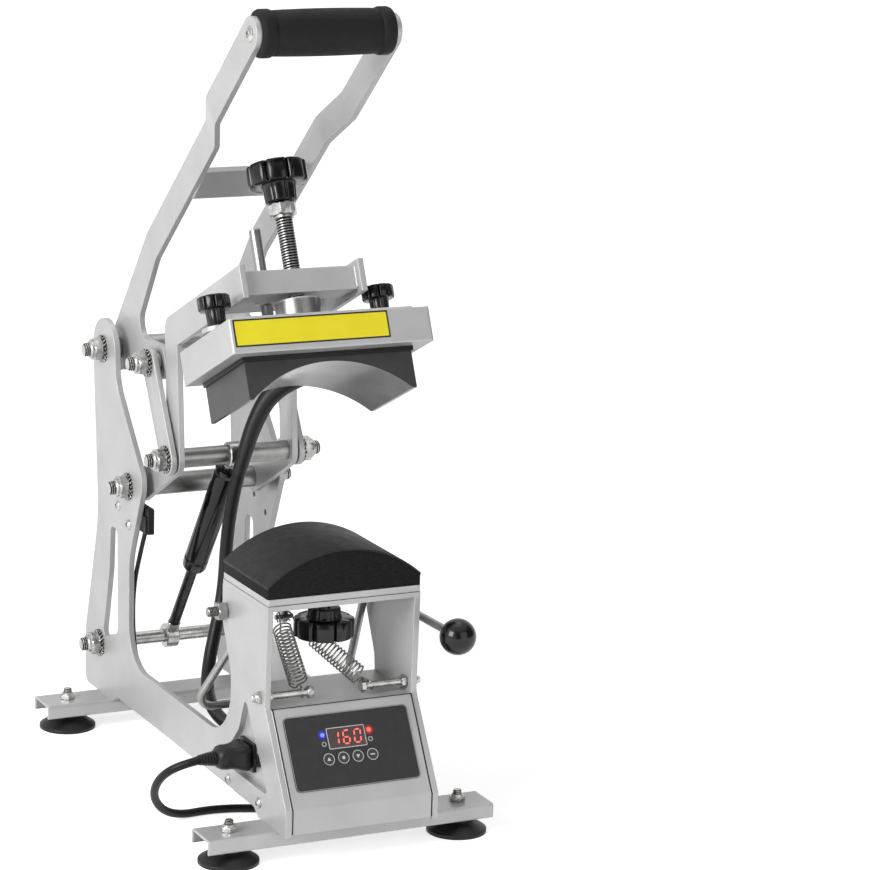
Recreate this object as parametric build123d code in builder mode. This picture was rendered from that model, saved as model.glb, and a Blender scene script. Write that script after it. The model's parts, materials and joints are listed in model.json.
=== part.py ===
from build123d import *
from math import atan2, cos, degrees, hypot, radians, sin, sqrt, tan
import os

# A clamshell press for transfers on caps. A toggle linkage on two cut side plates swings a
# heated, hollow platen down on a curved pad. Millimetres; +X right as the operator sees it,
# +Y to the back, +Z up; the origin is on the floor, midway between the feet. The press is
# built open, with its handle up.

os.makedirs("parts", exist_ok=True)

# ---------------------------------------------------------------- driving dimensions
# Toggle linkage: fixed pivots as (Y, Z), and the lengths between pins
crank_pivot = (196.0, 343.5)
arm_pivot = (131.0, 233.0)
spring_pivot = (200.0, 72.0)
crank_length = 95.0
link_length = 88.0
arm_length = 85.0
crank_open_angle = 3.5  # the crank's rise to the front, open
handle_travel = 38.0  # how far the handle swings down to close
grip_lead_angle = 41.5  # from the crank up to the grip's direction

# Sheet and clearances
plate_thickness = 5.0
plate_inner = 62.5  # half the room between the side plates
face_gap = 0.5  # between flat faces that slide past each other
seat_gap = 0.3  # between solids of different bodies, at rest
running_gap = 0.06  # radial, shaft in its bore
bolt_gap = 0.25  # radial, clamped bolt in its hole

# Linkage stack, half widths
link_thickness = 5.0
yoke_outer = 55.0
lobe_outer = 52.0

# Fasteners
rod_radius = 6.0  # M12
rod_flats = 19.0
rod_nut_height = 10.8
rod_stub = 5.0
washer_radius = 12.0
washer_height = 2.5
spacer_radius = 9.0
sleeve_radius = 10.0
sleeve_bore = 6.6
screw_radius = 2.5  # M5
screw_head_radius = 4.75
screw_head_height = 2.75
stud_radius = 3.0  # M6
stud_flats = 10.0
stud_nut_height = 5.0

# Handle
grip_reach = 442.0
arm_bend = (127.0, 20.0)  # along and above the line from crank pivot to grip
handle_width = 28.0
crank_boss_radius = 20.0
link_lobe_radius = 15.5
joggle_start = 300.0
joggle_end = 335.0
grip_inner = 58.0  # half width between the handle arms at the grip
grip_radius = 18.25
grip_belly = 19.0
grip_collar_radius = 19.5
grip_collar_width = 12.0
stop_bar_start = 222.0
stop_bar_end = 259.0
stop_bar_thickness = 5.0
pin_notch_depth = 13.5  # in the stop bar, where the guide pin passes it
pin_notch_gap = 1.5

# Upper arm, in its closed pose
yoke_width = 27.5
yoke_bend = (9.0, 341.0)
yoke_front = -160.0
front_bar_rear = -125.0
front_bar_front = -153.0
front_bar_height = 20.0
rear_plate_front = -93.0
rear_plate_rear = -25.0
rear_plate_thickness = 7.0
buffer_radius = 18.0
buffer_centre = -41.0
arm_sleeve_radius = 9.5
guide_bush_radius = 9.5

# Platen, in its closed pose
screw_axis = -139.0
guide_axis = -75.0
guide_pin_radius = 5.0
guide_pin_top = 405.0
screw_thread_radius = 7.0
screw_pitch = 2.0
platen_half_length = 73.5
platen_front = -184.0
platen_rear = -96.0
platen_bottom = 238.5
housing_bottom = 273.0
housing_height = 31.0
housing_half_length = 88.0
housing_front = -200.0
housing_rear = -86.0
platen_land = 3.5  # flat rim each side of the hollow
platen_hollow = 26.737  # how far the hollow rises above its rim
knob_radius = 25.0
knob_bottom = 425.0
knob_height = 18.0

# Pad and platform
platform_bottom = 202.0
platform_thickness = 4.5
tray_thickness = 5.5
pad_front = -181.0
pad_rear = -88.0
pad_edge_height = 10.5
pad_arc_radius = 101.0
pad_knob_axis = -141.0
pad_knob_bottom = 165.5
pad_knob_height = 15.5

# Base
rail_y = 189.5
rail_width = 36.0
rail_half_length = 126.7
rail_top = 26.0
rail_height = 12.0
rail_wall = 2.0
foot_inset = 24.7  # from the rails' ends
foot_radius = 25.0
foot_rim_height = 3.0
foot_height = 24.0
foot_neck_radius = 13.0
plate_foot = 26.0

# Console
shelf_height = 120.0
shelf_front = -180.0
console_rear = -105.0
fascia_foot = (-224.0, 48.0)
console_bottom = 28.0
console_wall = 2.0
panel_width = 110.0
panel_length = 62.0
panel_corner = 4.0
panel_drop = 8.0  # from the bend at the top of the fascia
panel_thickness = 0.8
display_size = (33.0, 17.0)
display_centre = (-2.9, 21.3)
key_radius = 4.9
key_row = 38.0
key_places = (-21.9, -9.0, 3.8, 16.7)
key_travel = 0.5
inlet_centre = (-137.5, 70.0)
inlet_screw_pitch = 40.0
rocker_centre = (-141.75, 69.5)
rocker_size = (28.5, 35.0)
lamp_centre = (-140.7, 101.9)
lamp_radius = 6.0

# Cap bail and its springs
bail_pivot = (-95.0, 181.0)
bail_rod_radius = 4.0
bail_bar = (-58.0, 88.0)
bail_lug = (-18.0, -100.0, 172.0)
ball_centre = (82.0, -222.0, 178.0)
ball_radius = 15.0
hook_stud = (-167.5, 127.5)
hook_x = 28.0
coil_radius = 7.25
coil_wire = 1.5

# Gas spring
gas_tube_radius = 11.0
gas_rod_radius = 5.0
gas_tube_end = 150.0
gas_rod_length = 112.0
gas_eye_width = 12.0
gas_eye_radius = 11.0

# Leads
heater_lead_radius = 5.75
mains_lead_radius = 3.5
signal_lead_radius = 2.0
coil_centre = (-16.0, -48.0)
coil_outer = 41.0
coil_inner = 20.0
coil_height = 14.0
mains_route = (
    (-106.0, -137.5, 70.0),
    (-124.0, -133.0, 66.0),
    (-134.0, -116.0, 51.0),
    (-132.0, -98.0, 30.0),
    (-119.0, -87.0, 12.0),
    (-100.0, -82.0, 3.5),
    (-76.0, -82.5, 3.5),
    (-52.0, -85.0, 3.5),
    (-28.0, -85.5, 3.5),
)
heater_route = (
    (62.0, -28.0, 369.5),
    (59.0, -8.0, 359.0),
    (44.0, 14.0, 345.0),
    (22.0, 30.0, 330.0),
    (9.0, 34.0, 306.0),
    (2.0, 35.0, 275.0),
    (-2.0, 43.0, 241.0),
    (-5.0, 49.0, 200.0),
    (-11.0, 46.0, 158.0),
    (-20.0, 40.0, 127.0),
    (-31.0, 30.0, 98.0),
    (-41.0, 10.0, 77.0),
    (-46.0, -22.0, 68.0),
    (-46.0, -60.0, 67.0),
    (-45.0, -106.5, 72.0),
)
signal_route = (
    (-58.5, 112.0, 196.0),
    (-59.0, 124.0, 172.0),
    (-59.5, 137.0, 140.0),
    (-59.5, 139.0, 105.0),
    (-59.5, 130.0, 74.0),
    (-59.5, 108.0, 54.0),
    (-59.5, 78.0, 49.5),
    (-59.5, 40.0, 51.0),
    (-59.5, 0.0, 48.5),
    (-59.5, -40.0, 51.0),
    (-59.0, -76.0, 50.0),
    (-57.0, -106.5, 53.0),
)


# ---------------------------------------------------------------- kinematics
def polar(centre, radius, angle):
    """The point at an angle of rise to the front of a pivot, as (Y, Z)."""
    return (centre[0] - radius * cos(radians(angle)), centre[1] + radius * sin(radians(angle)))


def meet(centre_a, radius_a, centre_b, radius_b):
    """The front crossing of two circles, as (Y, Z)."""
    dy = centre_b[0] - centre_a[0]
    dz = centre_b[1] - centre_a[1]
    span = hypot(dy, dz)
    along = (radius_a**2 - radius_b**2 + span**2) / (2 * span)
    aside = sqrt(radius_a**2 - along**2)
    y = centre_a[0] + along * dy / span
    z = centre_a[1] + along * dz / span
    return min((y + aside * dz / span, z - aside * dy / span), (y - aside * dz / span, z + aside * dy / span))


def rise(start, end):
    """The angle at which a line climbs to the front."""
    return degrees(atan2(end[1] - start[1], start[0] - end[0]))


link_pin = polar(crank_pivot, crank_length, crank_open_angle)
toggle_pin = meet(arm_pivot, arm_length, link_pin, link_length)
link_pin_closed = polar(crank_pivot, crank_length, crank_open_angle - handle_travel)
toggle_pin_closed = meet(arm_pivot, arm_length, link_pin_closed, link_length)
arm_travel = rise(arm_pivot, toggle_pin) - rise(arm_pivot, toggle_pin_closed)
link_turn = (rise(link_pin, toggle_pin) - rise(link_pin_closed, toggle_pin_closed)) % 360
gas_turn = rise(spring_pivot, toggle_pin) - rise(spring_pivot, toggle_pin_closed)
grip_angle = crank_open_angle + grip_lead_angle


def tilted(pivot, angle):
    """A location that carries closed or level shapes, turned front-up about a pivot."""
    to_pivot = Location((0, *pivot))
    return to_pivot * Location((0, 0, 0), (-angle, 0, 0)) * to_pivot.inverse()


on_arm = tilted(arm_pivot, arm_travel)
on_handle = Location((0, *crank_pivot)) * Location((0, 0, 0), (-grip_angle, 0, 0))


# ---------------------------------------------------------------- shared shapes
def outline(*corners):
    """A closed outline from (x, y, corner radius) triples, wound so that it faces its plane."""
    swept = sum(a[0] * b[1] - b[0] * a[1] for a, b in zip(corners, corners[1:] + corners[:1]))
    if swept < 0:
        corners = corners[::-1]
    with BuildSketch() as shape:
        with BuildLine():
            radii = [corner[2] for corner in corners]
            FilletPolyline(*[corner[:2] for corner in corners], radius=radii, close=True)
        make_face()
    return shape.sketch


def strap(*ends):
    """The convex outline round circles, each (x, y, radius)."""
    with BuildSketch() as shape:
        for x, y, radius in ends:
            with Locations((x, y)):
                Circle(radius)
        make_hull()
    return shape.sketch


def nut(flats, height):
    """A hexagon nut's solid, standing on XY."""
    with BuildPart() as body:
        with BuildSketch():
            RegularPolygon(flats / 2, 6, major_radius=False)
        extrude(amount=height)
    return body.part


def locked_nut():
    """Washer and nut clamped on a rod's end, on a plane that faces out of the stack."""
    with BuildPart() as stack:
        with BuildSketch():
            Circle(washer_radius)
        extrude(amount=washer_height)
        with Locations((0, 0, washer_height)):
            add(nut(rod_flats, rod_nut_height))
    return stack.part


def star(radius, lobes, height, hub_radius, hub_height):
    """A clamping knob: a lobed head on XY, its hub above it."""
    with BuildPart() as knob:
        with BuildSketch():
            Circle(radius * 0.86)
            with PolarLocations(radius * 0.82, lobes):
                Circle(radius * 0.18)
            with PolarLocations(radius * 1.02, lobes, start_angle=180 / lobes):
                Circle(radius * 0.17, mode=Mode.SUBTRACT)
        extrude(amount=height)
        with BuildSketch(Plane.XY.offset(height)):
            Circle(hub_radius)
        extrude(amount=hub_height)
    return knob.part


def placed(frame, plane):
    """A plane carried along with a frame."""
    return Plane(frame * plane.location)


def side(x, frame=Location()):
    """The plane at X whose sketches read as (Y, Z) in a frame."""
    return placed(frame, Plane.YZ.offset(x))


def facing(x, point, frame=Location()):
    """A plane at (x, Y, Z) that looks away from the middle of the press."""
    return placed(frame, Plane(origin=(x, *point), x_dir=(0, 1, 0), z_dir=(1 if x > 0 else -1, 0, 0)))


# ---------------------------------------------------------------- side plates
boss = 27.5
p1y, p1z = crank_pivot
p4y, p4z = arm_pivot
plate_front_edge = -224.0
plate_rear_edge = 237.0
column_rear = pad_rear + 1.0
plate_corners = (
    (p1y + boss, p1z + boss, boss - 0.1),
    (p1y - boss, p1z + boss, boss - 0.1),
    (163.0, 318.0, 40.0),
    (p4y - 36.0, p4z + 11.0, 20.0),
    (p4y - 3.0, 168.0, 45.0),
    (p4y - 3.0, 72.5, 38.0),
    (-112.0, 72.5, 45.0),
    (-106.0, 134.0, 25.0),
    (column_rear, 172.0, 22.0),
    (column_rear, platform_bottom, 0.0),
    (pad_front, platform_bottom, 0.0),
    (-178.0, 122.0, 8.0),
    (plate_front_edge, 48.0, 6.0),
    (plate_front_edge, plate_foot, 1.0),
    (-168.0, plate_foot, 3.0),
    (-158.0, plate_foot + 7.0, 12.0),
    (158.0, plate_foot + 7.0, 12.0),
    (168.0, plate_foot, 3.0),
    (plate_rear_edge, plate_foot, 9.0),
    (plate_rear_edge, 76.0, 30.0),
    (205.5, 190.0, 110.0),
)
rear_slot = (
    (157.0, 188.0, 7.0),
    (174.5, 187.0, 7.0),
    (177.0, 146.0, 60.0),
    (193.0, 79.0, 5.0),
    (155.0, 92.0, 8.0),
)
front_window = ((-137.5, 119.0, 4.0), (-125.0, 88.0, 20.0), (-86.0, 50.0, 4.0), (-188.0, 50.0, 4.0))
bracket_holes = ((155.5, 209.7), (129.4, 198.9))
chassis_holes = ((-104.0, 38.5), (-169.0, 38.5))

for hand, sign in (("left", -1), ("right", 1)):
    with BuildPart() as side_plate:
        with BuildSketch(side(sign * plate_inner)):
            add(outline(*plate_corners))
            add(outline(*rear_slot), mode=Mode.SUBTRACT)
            add(outline(*front_window), mode=Mode.SUBTRACT)
            with Locations(crank_pivot, arm_pivot, spring_pivot):
                Circle(rod_radius + bolt_gap, mode=Mode.SUBTRACT)
            with Locations(*bracket_holes, *chassis_holes):
                Circle(screw_radius + bolt_gap, mode=Mode.SUBTRACT)
            with Locations(hook_stud):
                Circle(stud_radius + bolt_gap, mode=Mode.SUBTRACT)
            with Locations(bail_pivot):
                Circle(bail_rod_radius + running_gap, mode=Mode.SUBTRACT)
        extrude(amount=sign * plate_thickness)
    side_plate.part.label = f"side_plate_{hand}"
    export_step(side_plate.part, f"parts/side_plate_{hand}.step")

plate_outer = plate_inner + plate_thickness

# ---------------------------------------------------------------- rails and feet
rail_section = (
    (-rail_width / 2, rail_top - rail_height, 0.0),
    (-rail_width / 2, rail_top, 2.5),
    (rail_width / 2, rail_top, 2.5),
    (rail_width / 2, rail_top - rail_height, 0.0),
    (rail_width / 2 - rail_wall, rail_top - rail_height, 0.0),
    (rail_width / 2 - rail_wall, rail_top - rail_wall, 0.5),
    (rail_wall - rail_width / 2, rail_top - rail_wall, 0.5),
    (rail_wall - rail_width / 2, rail_top - rail_height, 0.0),
)
foot_x = rail_half_length - foot_inset
foot_places = {
    "front_left": (-foot_x, -rail_y),
    "front_right": (foot_x, -rail_y),
    "rear_left": (-foot_x, rail_y),
    "rear_right": (foot_x, rail_y),
}
foot_bolt_radius = 4.0

for end, sign in (("front", -1), ("rear", 1)):
    with BuildPart() as rail:
        with BuildSketch(Plane.YZ.offset(-rail_half_length)):
            with Locations((sign * rail_y, 0)):
                add(outline(*rail_section))
        extrude(amount=2 * rail_half_length)
        with BuildSketch(Plane.XY.offset(rail_top)):
            with Locations((-foot_x, sign * rail_y), (foot_x, sign * rail_y)):
                Circle(foot_bolt_radius + bolt_gap)
        extrude(amount=-rail_height, mode=Mode.SUBTRACT)
    rail.part.label = f"rail_{end}"
    export_step(rail.part, f"parts/rail_{end}.step")

# A suction foot: a flared cup whose rim stands on the floor, its neck up in the rail
foot_top = rail_top - rail_wall
foot_profile = (
    (foot_radius * 0.62, 0.0, 0.0),
    (foot_radius, 0.0, 0.0),
    (foot_radius, foot_rim_height, 1.0),
    (foot_neck_radius, foot_top * 0.45, 5.0),
    (foot_neck_radius, foot_top, 0.0),
    (foot_bolt_radius + bolt_gap, foot_top, 0.0),
    (foot_bolt_radius + bolt_gap, foot_top * 0.5, 0.0),
    (0.0, foot_top * 0.5, 0.0),
    (0.0, foot_rim_height, 0.0),
)
for place, (x, y) in foot_places.items():
    with BuildPart() as foot:
        with BuildSketch(Plane(origin=(x, y, 0), x_dir=(1, 0, 0), z_dir=(0, -1, 0))):
            add(outline(*foot_profile))
        revolve(axis=Axis((x, y, 0), (0, 0, 1)))
    foot.part.label = f"foot_{place}"
    export_step(foot.part, f"parts/foot_{place}.step")

# Screws and studs that hold the base together, all zinc plated
foot_nut_height = 6.5
stud_inner_end = hook_x - 4.0
with BuildPart() as base_screws:
    for x, y in foot_places.values():
        with BuildSketch(Plane((x, y, foot_top * 0.5 + 0.5))):
            Circle(foot_bolt_radius)
        extrude(amount=rail_top - foot_top * 0.5 + foot_nut_height + 3.5)
        with Locations((x, y, rail_top)):
            add(nut(13.0, foot_nut_height))
    for sign in (-1, 1):
        for point in (*bracket_holes, *chassis_holes):
            screw_plane = facing(sign * plate_outer, point)
            with BuildSketch(screw_plane):
                Circle(screw_head_radius)
            extrude(amount=screw_head_height, taper=20)
            with BuildSketch(screw_plane):
                Circle(screw_radius)
            extrude(amount=-(plate_thickness - 0.2))
        with BuildSketch(facing(sign * stud_inner_end, hook_stud)):
            Circle(stud_radius)
        extrude(amount=plate_outer + 8.0 - stud_inner_end)
        for x in (stud_inner_end + 1.0, plate_inner - stud_nut_height, plate_outer):
            with Locations(facing(sign * x, hook_stud)):
                add(nut(stud_flats, stud_nut_height))
base_screws.part.label = "base_screws"
export_step(base_screws.part, "parts/base_screws.step")

# ---------------------------------------------------------------- platform and pad
platform_top = platform_bottom + platform_thickness
tray_top = platform_top + tray_thickness
pad_length = 2 * plate_outer
pad_depth = pad_rear - pad_front
pad_middle = (pad_front + pad_rear) / 2
pad_edge = tray_top + pad_edge_height
pad_rise = pad_arc_radius - sqrt(pad_arc_radius**2 - (pad_length / 2) ** 2)
pad_stud_radius = 5.0
pad_stud_top = platform_top + 2.0

with BuildPart() as platform_frame:
    with BuildSketch(Plane.XY.offset(platform_bottom)):
        with Locations((0, pad_middle)):
            Rectangle(2 * plate_outer, pad_depth)
        with Locations((0, pad_knob_axis)):
            Circle(pad_stud_radius + running_gap, mode=Mode.SUBTRACT)
    extrude(amount=platform_thickness)
platform_frame.part.label = "platform_frame"
export_step(platform_frame.part, "parts/platform_frame.step")

with BuildPart() as pad_tray:
    with BuildSketch(Plane.XY.offset(platform_top)):
        with Locations((0, pad_middle)):
            RectangleRounded(pad_length, pad_depth, 1.5)
    extrude(amount=tray_thickness)
    with BuildSketch(Plane.XY.offset(platform_top)):
        with Locations((0, pad_knob_axis)):
            Circle(pad_stud_radius + seat_gap)
    extrude(amount=pad_stud_top - platform_top + seat_gap, mode=Mode.SUBTRACT)
pad_tray.part.label = "pad_tray"
export_step(pad_tray.part, "parts/pad_tray.step")

with BuildPart() as lower_pad:
    with BuildSketch(Plane.XZ.offset(-pad_rear)):
        with BuildLine():
            Polyline(
                (pad_length / 2, pad_edge),
                (pad_length / 2, tray_top),
                (-pad_length / 2, tray_top),
                (-pad_length / 2, pad_edge),
            )
            RadiusArc((-pad_length / 2, pad_edge), (pad_length / 2, pad_edge), pad_arc_radius)
        make_face()
    extrude(amount=pad_depth)
lower_pad.part.label = "lower_pad"
export_step(lower_pad.part, "parts/lower_pad.step")

with BuildPart() as pad_knob:
    with Locations((0, pad_knob_axis, pad_knob_bottom)):
        add(star(knob_radius, 8, pad_knob_height, 14.0, 9.0))
    with BuildSketch(Plane((0, pad_knob_axis, pad_knob_bottom + pad_knob_height))):
        Circle(pad_stud_radius)
    extrude(amount=pad_stud_top - pad_knob_bottom - pad_knob_height)
pad_knob.part.label = "pad_knob"
export_step(pad_knob.part, "parts/pad_knob.step")

# ---------------------------------------------------------------- console
fascia_drop = shelf_height - 48.0
fascia_run = plate_front_edge - shelf_front
fascia_length = hypot(fascia_drop, fascia_run)
fascia_normal = (0, -fascia_drop / fascia_length, -fascia_run / fascia_length)
fascia = Plane(origin=(0, shelf_front, shelf_height), x_dir=(1, 0, 0), z_dir=fascia_normal)
display_place = (display_centre[0], -panel_drop - display_centre[1])
key_pocket = key_radius + seat_gap
inlet_slot = (27.0, 20.0)
rocker_body = (25.0, 31.0)

with BuildPart() as console_cover:
    with BuildSketch(side(-plate_inner)):
        add(
            outline(
                (console_rear, console_bottom, 0.0),
                (console_rear, shelf_height, 2.5),
                (shelf_front, shelf_height, 3.5),
                (plate_front_edge, shelf_height - fascia_drop, 3.5),
                (plate_front_edge, console_bottom, 0.0),
            )
        )
    extrude(amount=2 * plate_inner)
    offset(amount=-console_wall, openings=console_cover.faces().sort_by(Axis.Z)[0])
    with BuildSketch(side(-plate_inner)):
        with Locations(inlet_centre):
            Rectangle(*inlet_slot)
    extrude(amount=console_wall, mode=Mode.SUBTRACT)
    with BuildSketch(side(plate_inner)):
        with Locations(rocker_centre):
            Rectangle(rocker_body[0], rocker_body[1])
        with Locations(lamp_centre):
            Circle(lamp_radius - 1.5)
    extrude(amount=-console_wall, mode=Mode.SUBTRACT)
    with BuildSketch(fascia):
        with Locations(*[(x, -panel_drop - key_row) for x in key_places]):
            Circle(key_pocket)
    extrude(amount=-console_wall * 2, mode=Mode.SUBTRACT)
    with BuildSketch(Plane.XZ.offset(-console_rear)):
        lead_ends = ((heater_route[-1], heater_lead_radius), (signal_route[-1], signal_lead_radius))
        for lead_end, radius in lead_ends:
            with Locations((lead_end[0], lead_end[2])):
                Circle(radius + seat_gap)
    extrude(amount=2 * console_wall, mode=Mode.SUBTRACT)
console_cover.part.label = "console_cover"
export_step(console_cover.part, "parts/console_cover.step")

with BuildPart() as control_panel:
    with BuildSketch(fascia):
        with Locations((0, -panel_drop - panel_length / 2)):
            RectangleRounded(panel_width, panel_length, panel_corner)
        with Locations(*[(x, -panel_drop - key_row) for x in key_places]):
            Circle(key_pocket, mode=Mode.SUBTRACT)
        with Locations(display_place):
            Rectangle(*display_size, mode=Mode.SUBTRACT)
    extrude(amount=panel_thickness)
control_panel.part.label = "control_panel"
export_step(control_panel.part, "parts/control_panel.step")

with BuildPart() as display_window:
    with BuildSketch(fascia):
        with Locations(display_place):
            Rectangle(*display_size)
    extrude(amount=panel_thickness)
display_window.part.label = "display_window"
export_step(display_window.part, "parts/display_window.step")

key_depth = 1.2
for number, x in enumerate(key_places, start=1):
    with BuildPart() as key:
        with BuildSketch(fascia.offset(panel_thickness + key_travel - key_depth - 0.2)):
            with Locations((x, -panel_drop - key_row)):
                Circle(key_radius)
        extrude(amount=key_depth)
    key.part.label = f"key_{number}"
    export_step(key.part, f"parts/key_{number}.step")

# Rocker switch: a bezel with a well, and a dished rocker on its own pivot
bezel_proud = 2.0
rocker_half = rocker_size[1] / 2 - 3.0
rocker_width = rocker_size[0] - 6.5
well_depth = 8.5
rocker_pivot_x = plate_inner + bezel_proud - 2.5
rocker_tilt = -7.0

with BuildPart() as switch_housing:
    with BuildSketch(side(plate_inner)):
        with Locations(rocker_centre):
            RectangleRounded(*rocker_size, 2.0)
    extrude(amount=bezel_proud)
    with BuildSketch(side(plate_inner)):
        with Locations(rocker_centre):
            Rectangle(*[length - 2 * bolt_gap for length in rocker_body])
    extrude(amount=-(well_depth + 4.0))
    with BuildSketch(side(plate_inner + bezel_proud)):
        with Locations(rocker_centre):
            Rectangle(rocker_width + 2 * seat_gap, 2 * (rocker_half + seat_gap))
    extrude(amount=-well_depth, mode=Mode.SUBTRACT)
switch_housing.part.label = "switch_housing"
export_step(switch_housing.part, "parts/switch_housing.step")

rocker_frame = Location((rocker_pivot_x, rocker_centre[0], rocker_centre[1]), (0, rocker_tilt, 0))
with BuildPart() as rocker:
    with BuildSketch(placed(rocker_frame, Plane.XZ.offset(-rocker_width / 2))):
        Circle(rocker_half - 0.1)
        with BuildLine():
            Polyline(
                (-1.5, -2 * rocker_half),
                (-1.5, 2 * rocker_half),
                (6.0, 2 * rocker_half),
                (4.0, 0),
                (6.0, -2 * rocker_half),
                close=True,
            )
        make_face(mode=Mode.INTERSECT)
    extrude(amount=rocker_width)
rocker.part.label = "rocker"
export_step(rocker.part, "parts/rocker.step")

with BuildPart() as power_lamp:
    with BuildSketch(facing(plate_inner, lamp_centre)):
        Circle(lamp_radius)
    extrude(amount=3.5)
    fillet(power_lamp.faces().sort_by(Axis.X)[-1].edges(), 2.5)
    with BuildSketch(facing(plate_inner, lamp_centre)):
        Circle(lamp_radius - 1.8)
    extrude(amount=-6.0)
power_lamp.part.label = "power_lamp"
export_step(power_lamp.part, "parts/power_lamp.step")

# ---------------------------------------------------------------- mains inlet and connector
inlet_flange = 3.0
inlet_ear = 5.0
nose = (23.6, 16.0)
nose_depth = 15.0
inlet_y, inlet_z = inlet_centre
nose_chamfer = 4.0


def nose_section(grow):
    """The inlet's opening: a rectangle with its two upper corners cut."""
    half_y = nose[0] / 2 + grow
    half_z = nose[1] / 2 + grow
    return outline(
        (-half_y, -half_z, 1.0),
        (half_y, -half_z, 1.0),
        (half_y, half_z - nose_chamfer, 1.0),
        (half_y - nose_chamfer, half_z, 1.0),
        (nose_chamfer - half_y, half_z, 1.0),
        (-half_y, half_z - nose_chamfer, 1.0),
    )


with BuildPart() as power_inlet:
    with BuildSketch(side(-plate_inner - inlet_flange)):
        with Locations(inlet_centre):
            add(strap((-inlet_screw_pitch / 2, 0, inlet_ear), (inlet_screw_pitch / 2, 0, inlet_ear)))
            RectangleRounded(29.0, 24.0, 2.0)
    extrude(amount=inlet_flange)
    with BuildSketch(side(-plate_inner)):
        with Locations(inlet_centre):
            Rectangle(*[length - 2 * bolt_gap for length in inlet_slot])
    extrude(amount=nose_depth)
    with BuildSketch(side(-plate_inner - inlet_flange)):
        with Locations(inlet_centre):
            add(nose_section(bolt_gap))
    extrude(amount=nose_depth + seat_gap, mode=Mode.SUBTRACT)
    with BuildSketch(side(-plate_inner - inlet_flange)):
        with Locations(*[(inlet_y + turn * inlet_screw_pitch / 2, inlet_z) for turn in (-1, 1)]):
            Circle(2.6)
    extrude(amount=-1.6)
power_inlet.part.label = "power_inlet"
export_step(power_inlet.part, "parts/power_inlet.step")

mains_start = mains_route[0]
connector_face = -plate_inner - inlet_flange
connector_length = 24.0
with BuildPart() as mains_connector:
    with BuildSketch(side(connector_face)):
        with Locations(inlet_centre):
            add(nose_section(0))
    extrude(amount=nose_depth)
    with BuildSketch(side(connector_face)):
        with Locations(inlet_centre):
            RectangleRounded(28.0, 21.0, 4.0)
    with BuildSketch(side(connector_face - connector_length)):
        with Locations(inlet_centre):
            RectangleRounded(18.0, 16.0, 5.0)
    loft()
    with BuildSketch(side(connector_face - connector_length)):
        with Locations(inlet_centre):
            Circle(6.5)
    with BuildSketch(side(mains_start[0])):
        with Locations(inlet_centre):
            Circle(mains_lead_radius + 0.8)
    loft()
mains_connector.part.label = "mains_connector"
export_step(mains_connector.part, "parts/mains_connector.step")


def bend_radii(points, name):
    """Arc radii along a lead, each as large as its two runs allow."""
    runs = [Vector(b) - Vector(a) for a, b in zip(points, points[1:])]
    radii = []
    for first, second in zip(runs, runs[1:]):
        half_turn = radians(first.get_angle(second) / 2)
        radii.append(0.45 * min(first.length, second.length) / tan(half_turn))
    print(name, "bend radii", [round(radius, 1) for radius in radii])
    return radii


with BuildPart() as mains_cord:
    with BuildLine() as mains_path:
        FilletPolyline(*mains_route, radius=bend_radii(mains_route, "mains cord"))
    with BuildSketch(Plane(origin=mains_path.line @ 0, z_dir=mains_path.line % 0)):
        Circle(mains_lead_radius)
    sweep()
mains_cord.part.label = "mains_cord"
export_step(mains_cord.part, "parts/mains_cord.step")

coil_x, coil_y = coil_centre
with BuildPart() as mains_coil:
    with BuildSketch():
        with Locations(coil_centre):
            Circle(coil_outer)
            Circle(coil_inner, mode=Mode.SUBTRACT)
    extrude(amount=coil_height)
mains_coil.part.label = "mains_coil"
export_step(mains_coil.part, "parts/mains_coil.step")

# A moulded two-pin plug lying behind the coil, on the tangent of the last turn
plug_x = coil_x + coil_outer - mains_lead_radius
plug_z = coil_height - mains_lead_radius
plug_tail = coil_y + 20.0
plug_rear = coil_y + 40.0
plug_face = plug_rear + 32.0
plug_height = 2 * plug_z
with BuildPart() as mains_plug:
    with BuildSketch(Plane.XZ.offset(-plug_rear)):
        with Locations((plug_x, plug_z)):
            RectangleRounded(20.0, plug_height - 4.0, 5.0)
    with BuildSketch(Plane.XZ.offset(-plug_face)):
        with Locations((plug_x, plug_z)):
            RectangleRounded(34.0, plug_height, 6.0)
    loft()
    with BuildSketch(Plane.XZ.offset(-plug_tail)):
        with Locations((plug_x, plug_z)):
            Circle(mains_lead_radius + 0.8)
    with BuildSketch(Plane.XZ.offset(-plug_rear)):
        with Locations((plug_x, plug_z)):
            Circle(6.0)
    loft()
    with BuildSketch(Plane.XZ.offset(-plug_face)):
        with Locations((plug_x - 9.5, plug_z), (plug_x + 9.5, plug_z)):
            Circle(2.4)
    extrude(amount=-19.0)
mains_plug.part.label = "mains_plug"
export_step(mains_plug.part, "parts/mains_plug.step")

# ---------------------------------------------------------------- pivot rods of the frame
rod_end = plate_outer + washer_height + rod_nut_height + rod_stub
fixed_rods = {crank_pivot: lobe_outer + seat_gap, arm_pivot: yoke_outer + seat_gap, spring_pivot: None}

with BuildPart() as pivot_rods:
    for pivot, spacer_inner in fixed_rods.items():
        with BuildSketch(side(-rod_end)):
            with Locations(pivot):
                Circle(rod_radius)
        extrude(amount=2 * rod_end)
        for sign in (-1, 1):
            with Locations(facing(sign * plate_outer, pivot)):
                add(locked_nut())
            if spacer_inner:
                with BuildSketch(facing(sign * spacer_inner, pivot)):
                    Circle(spacer_radius)
                extrude(amount=plate_inner - spacer_inner)
pivot_rods.part.label = "pivot_rods"
export_step(pivot_rods.part, "parts/pivot_rods.step")

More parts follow.
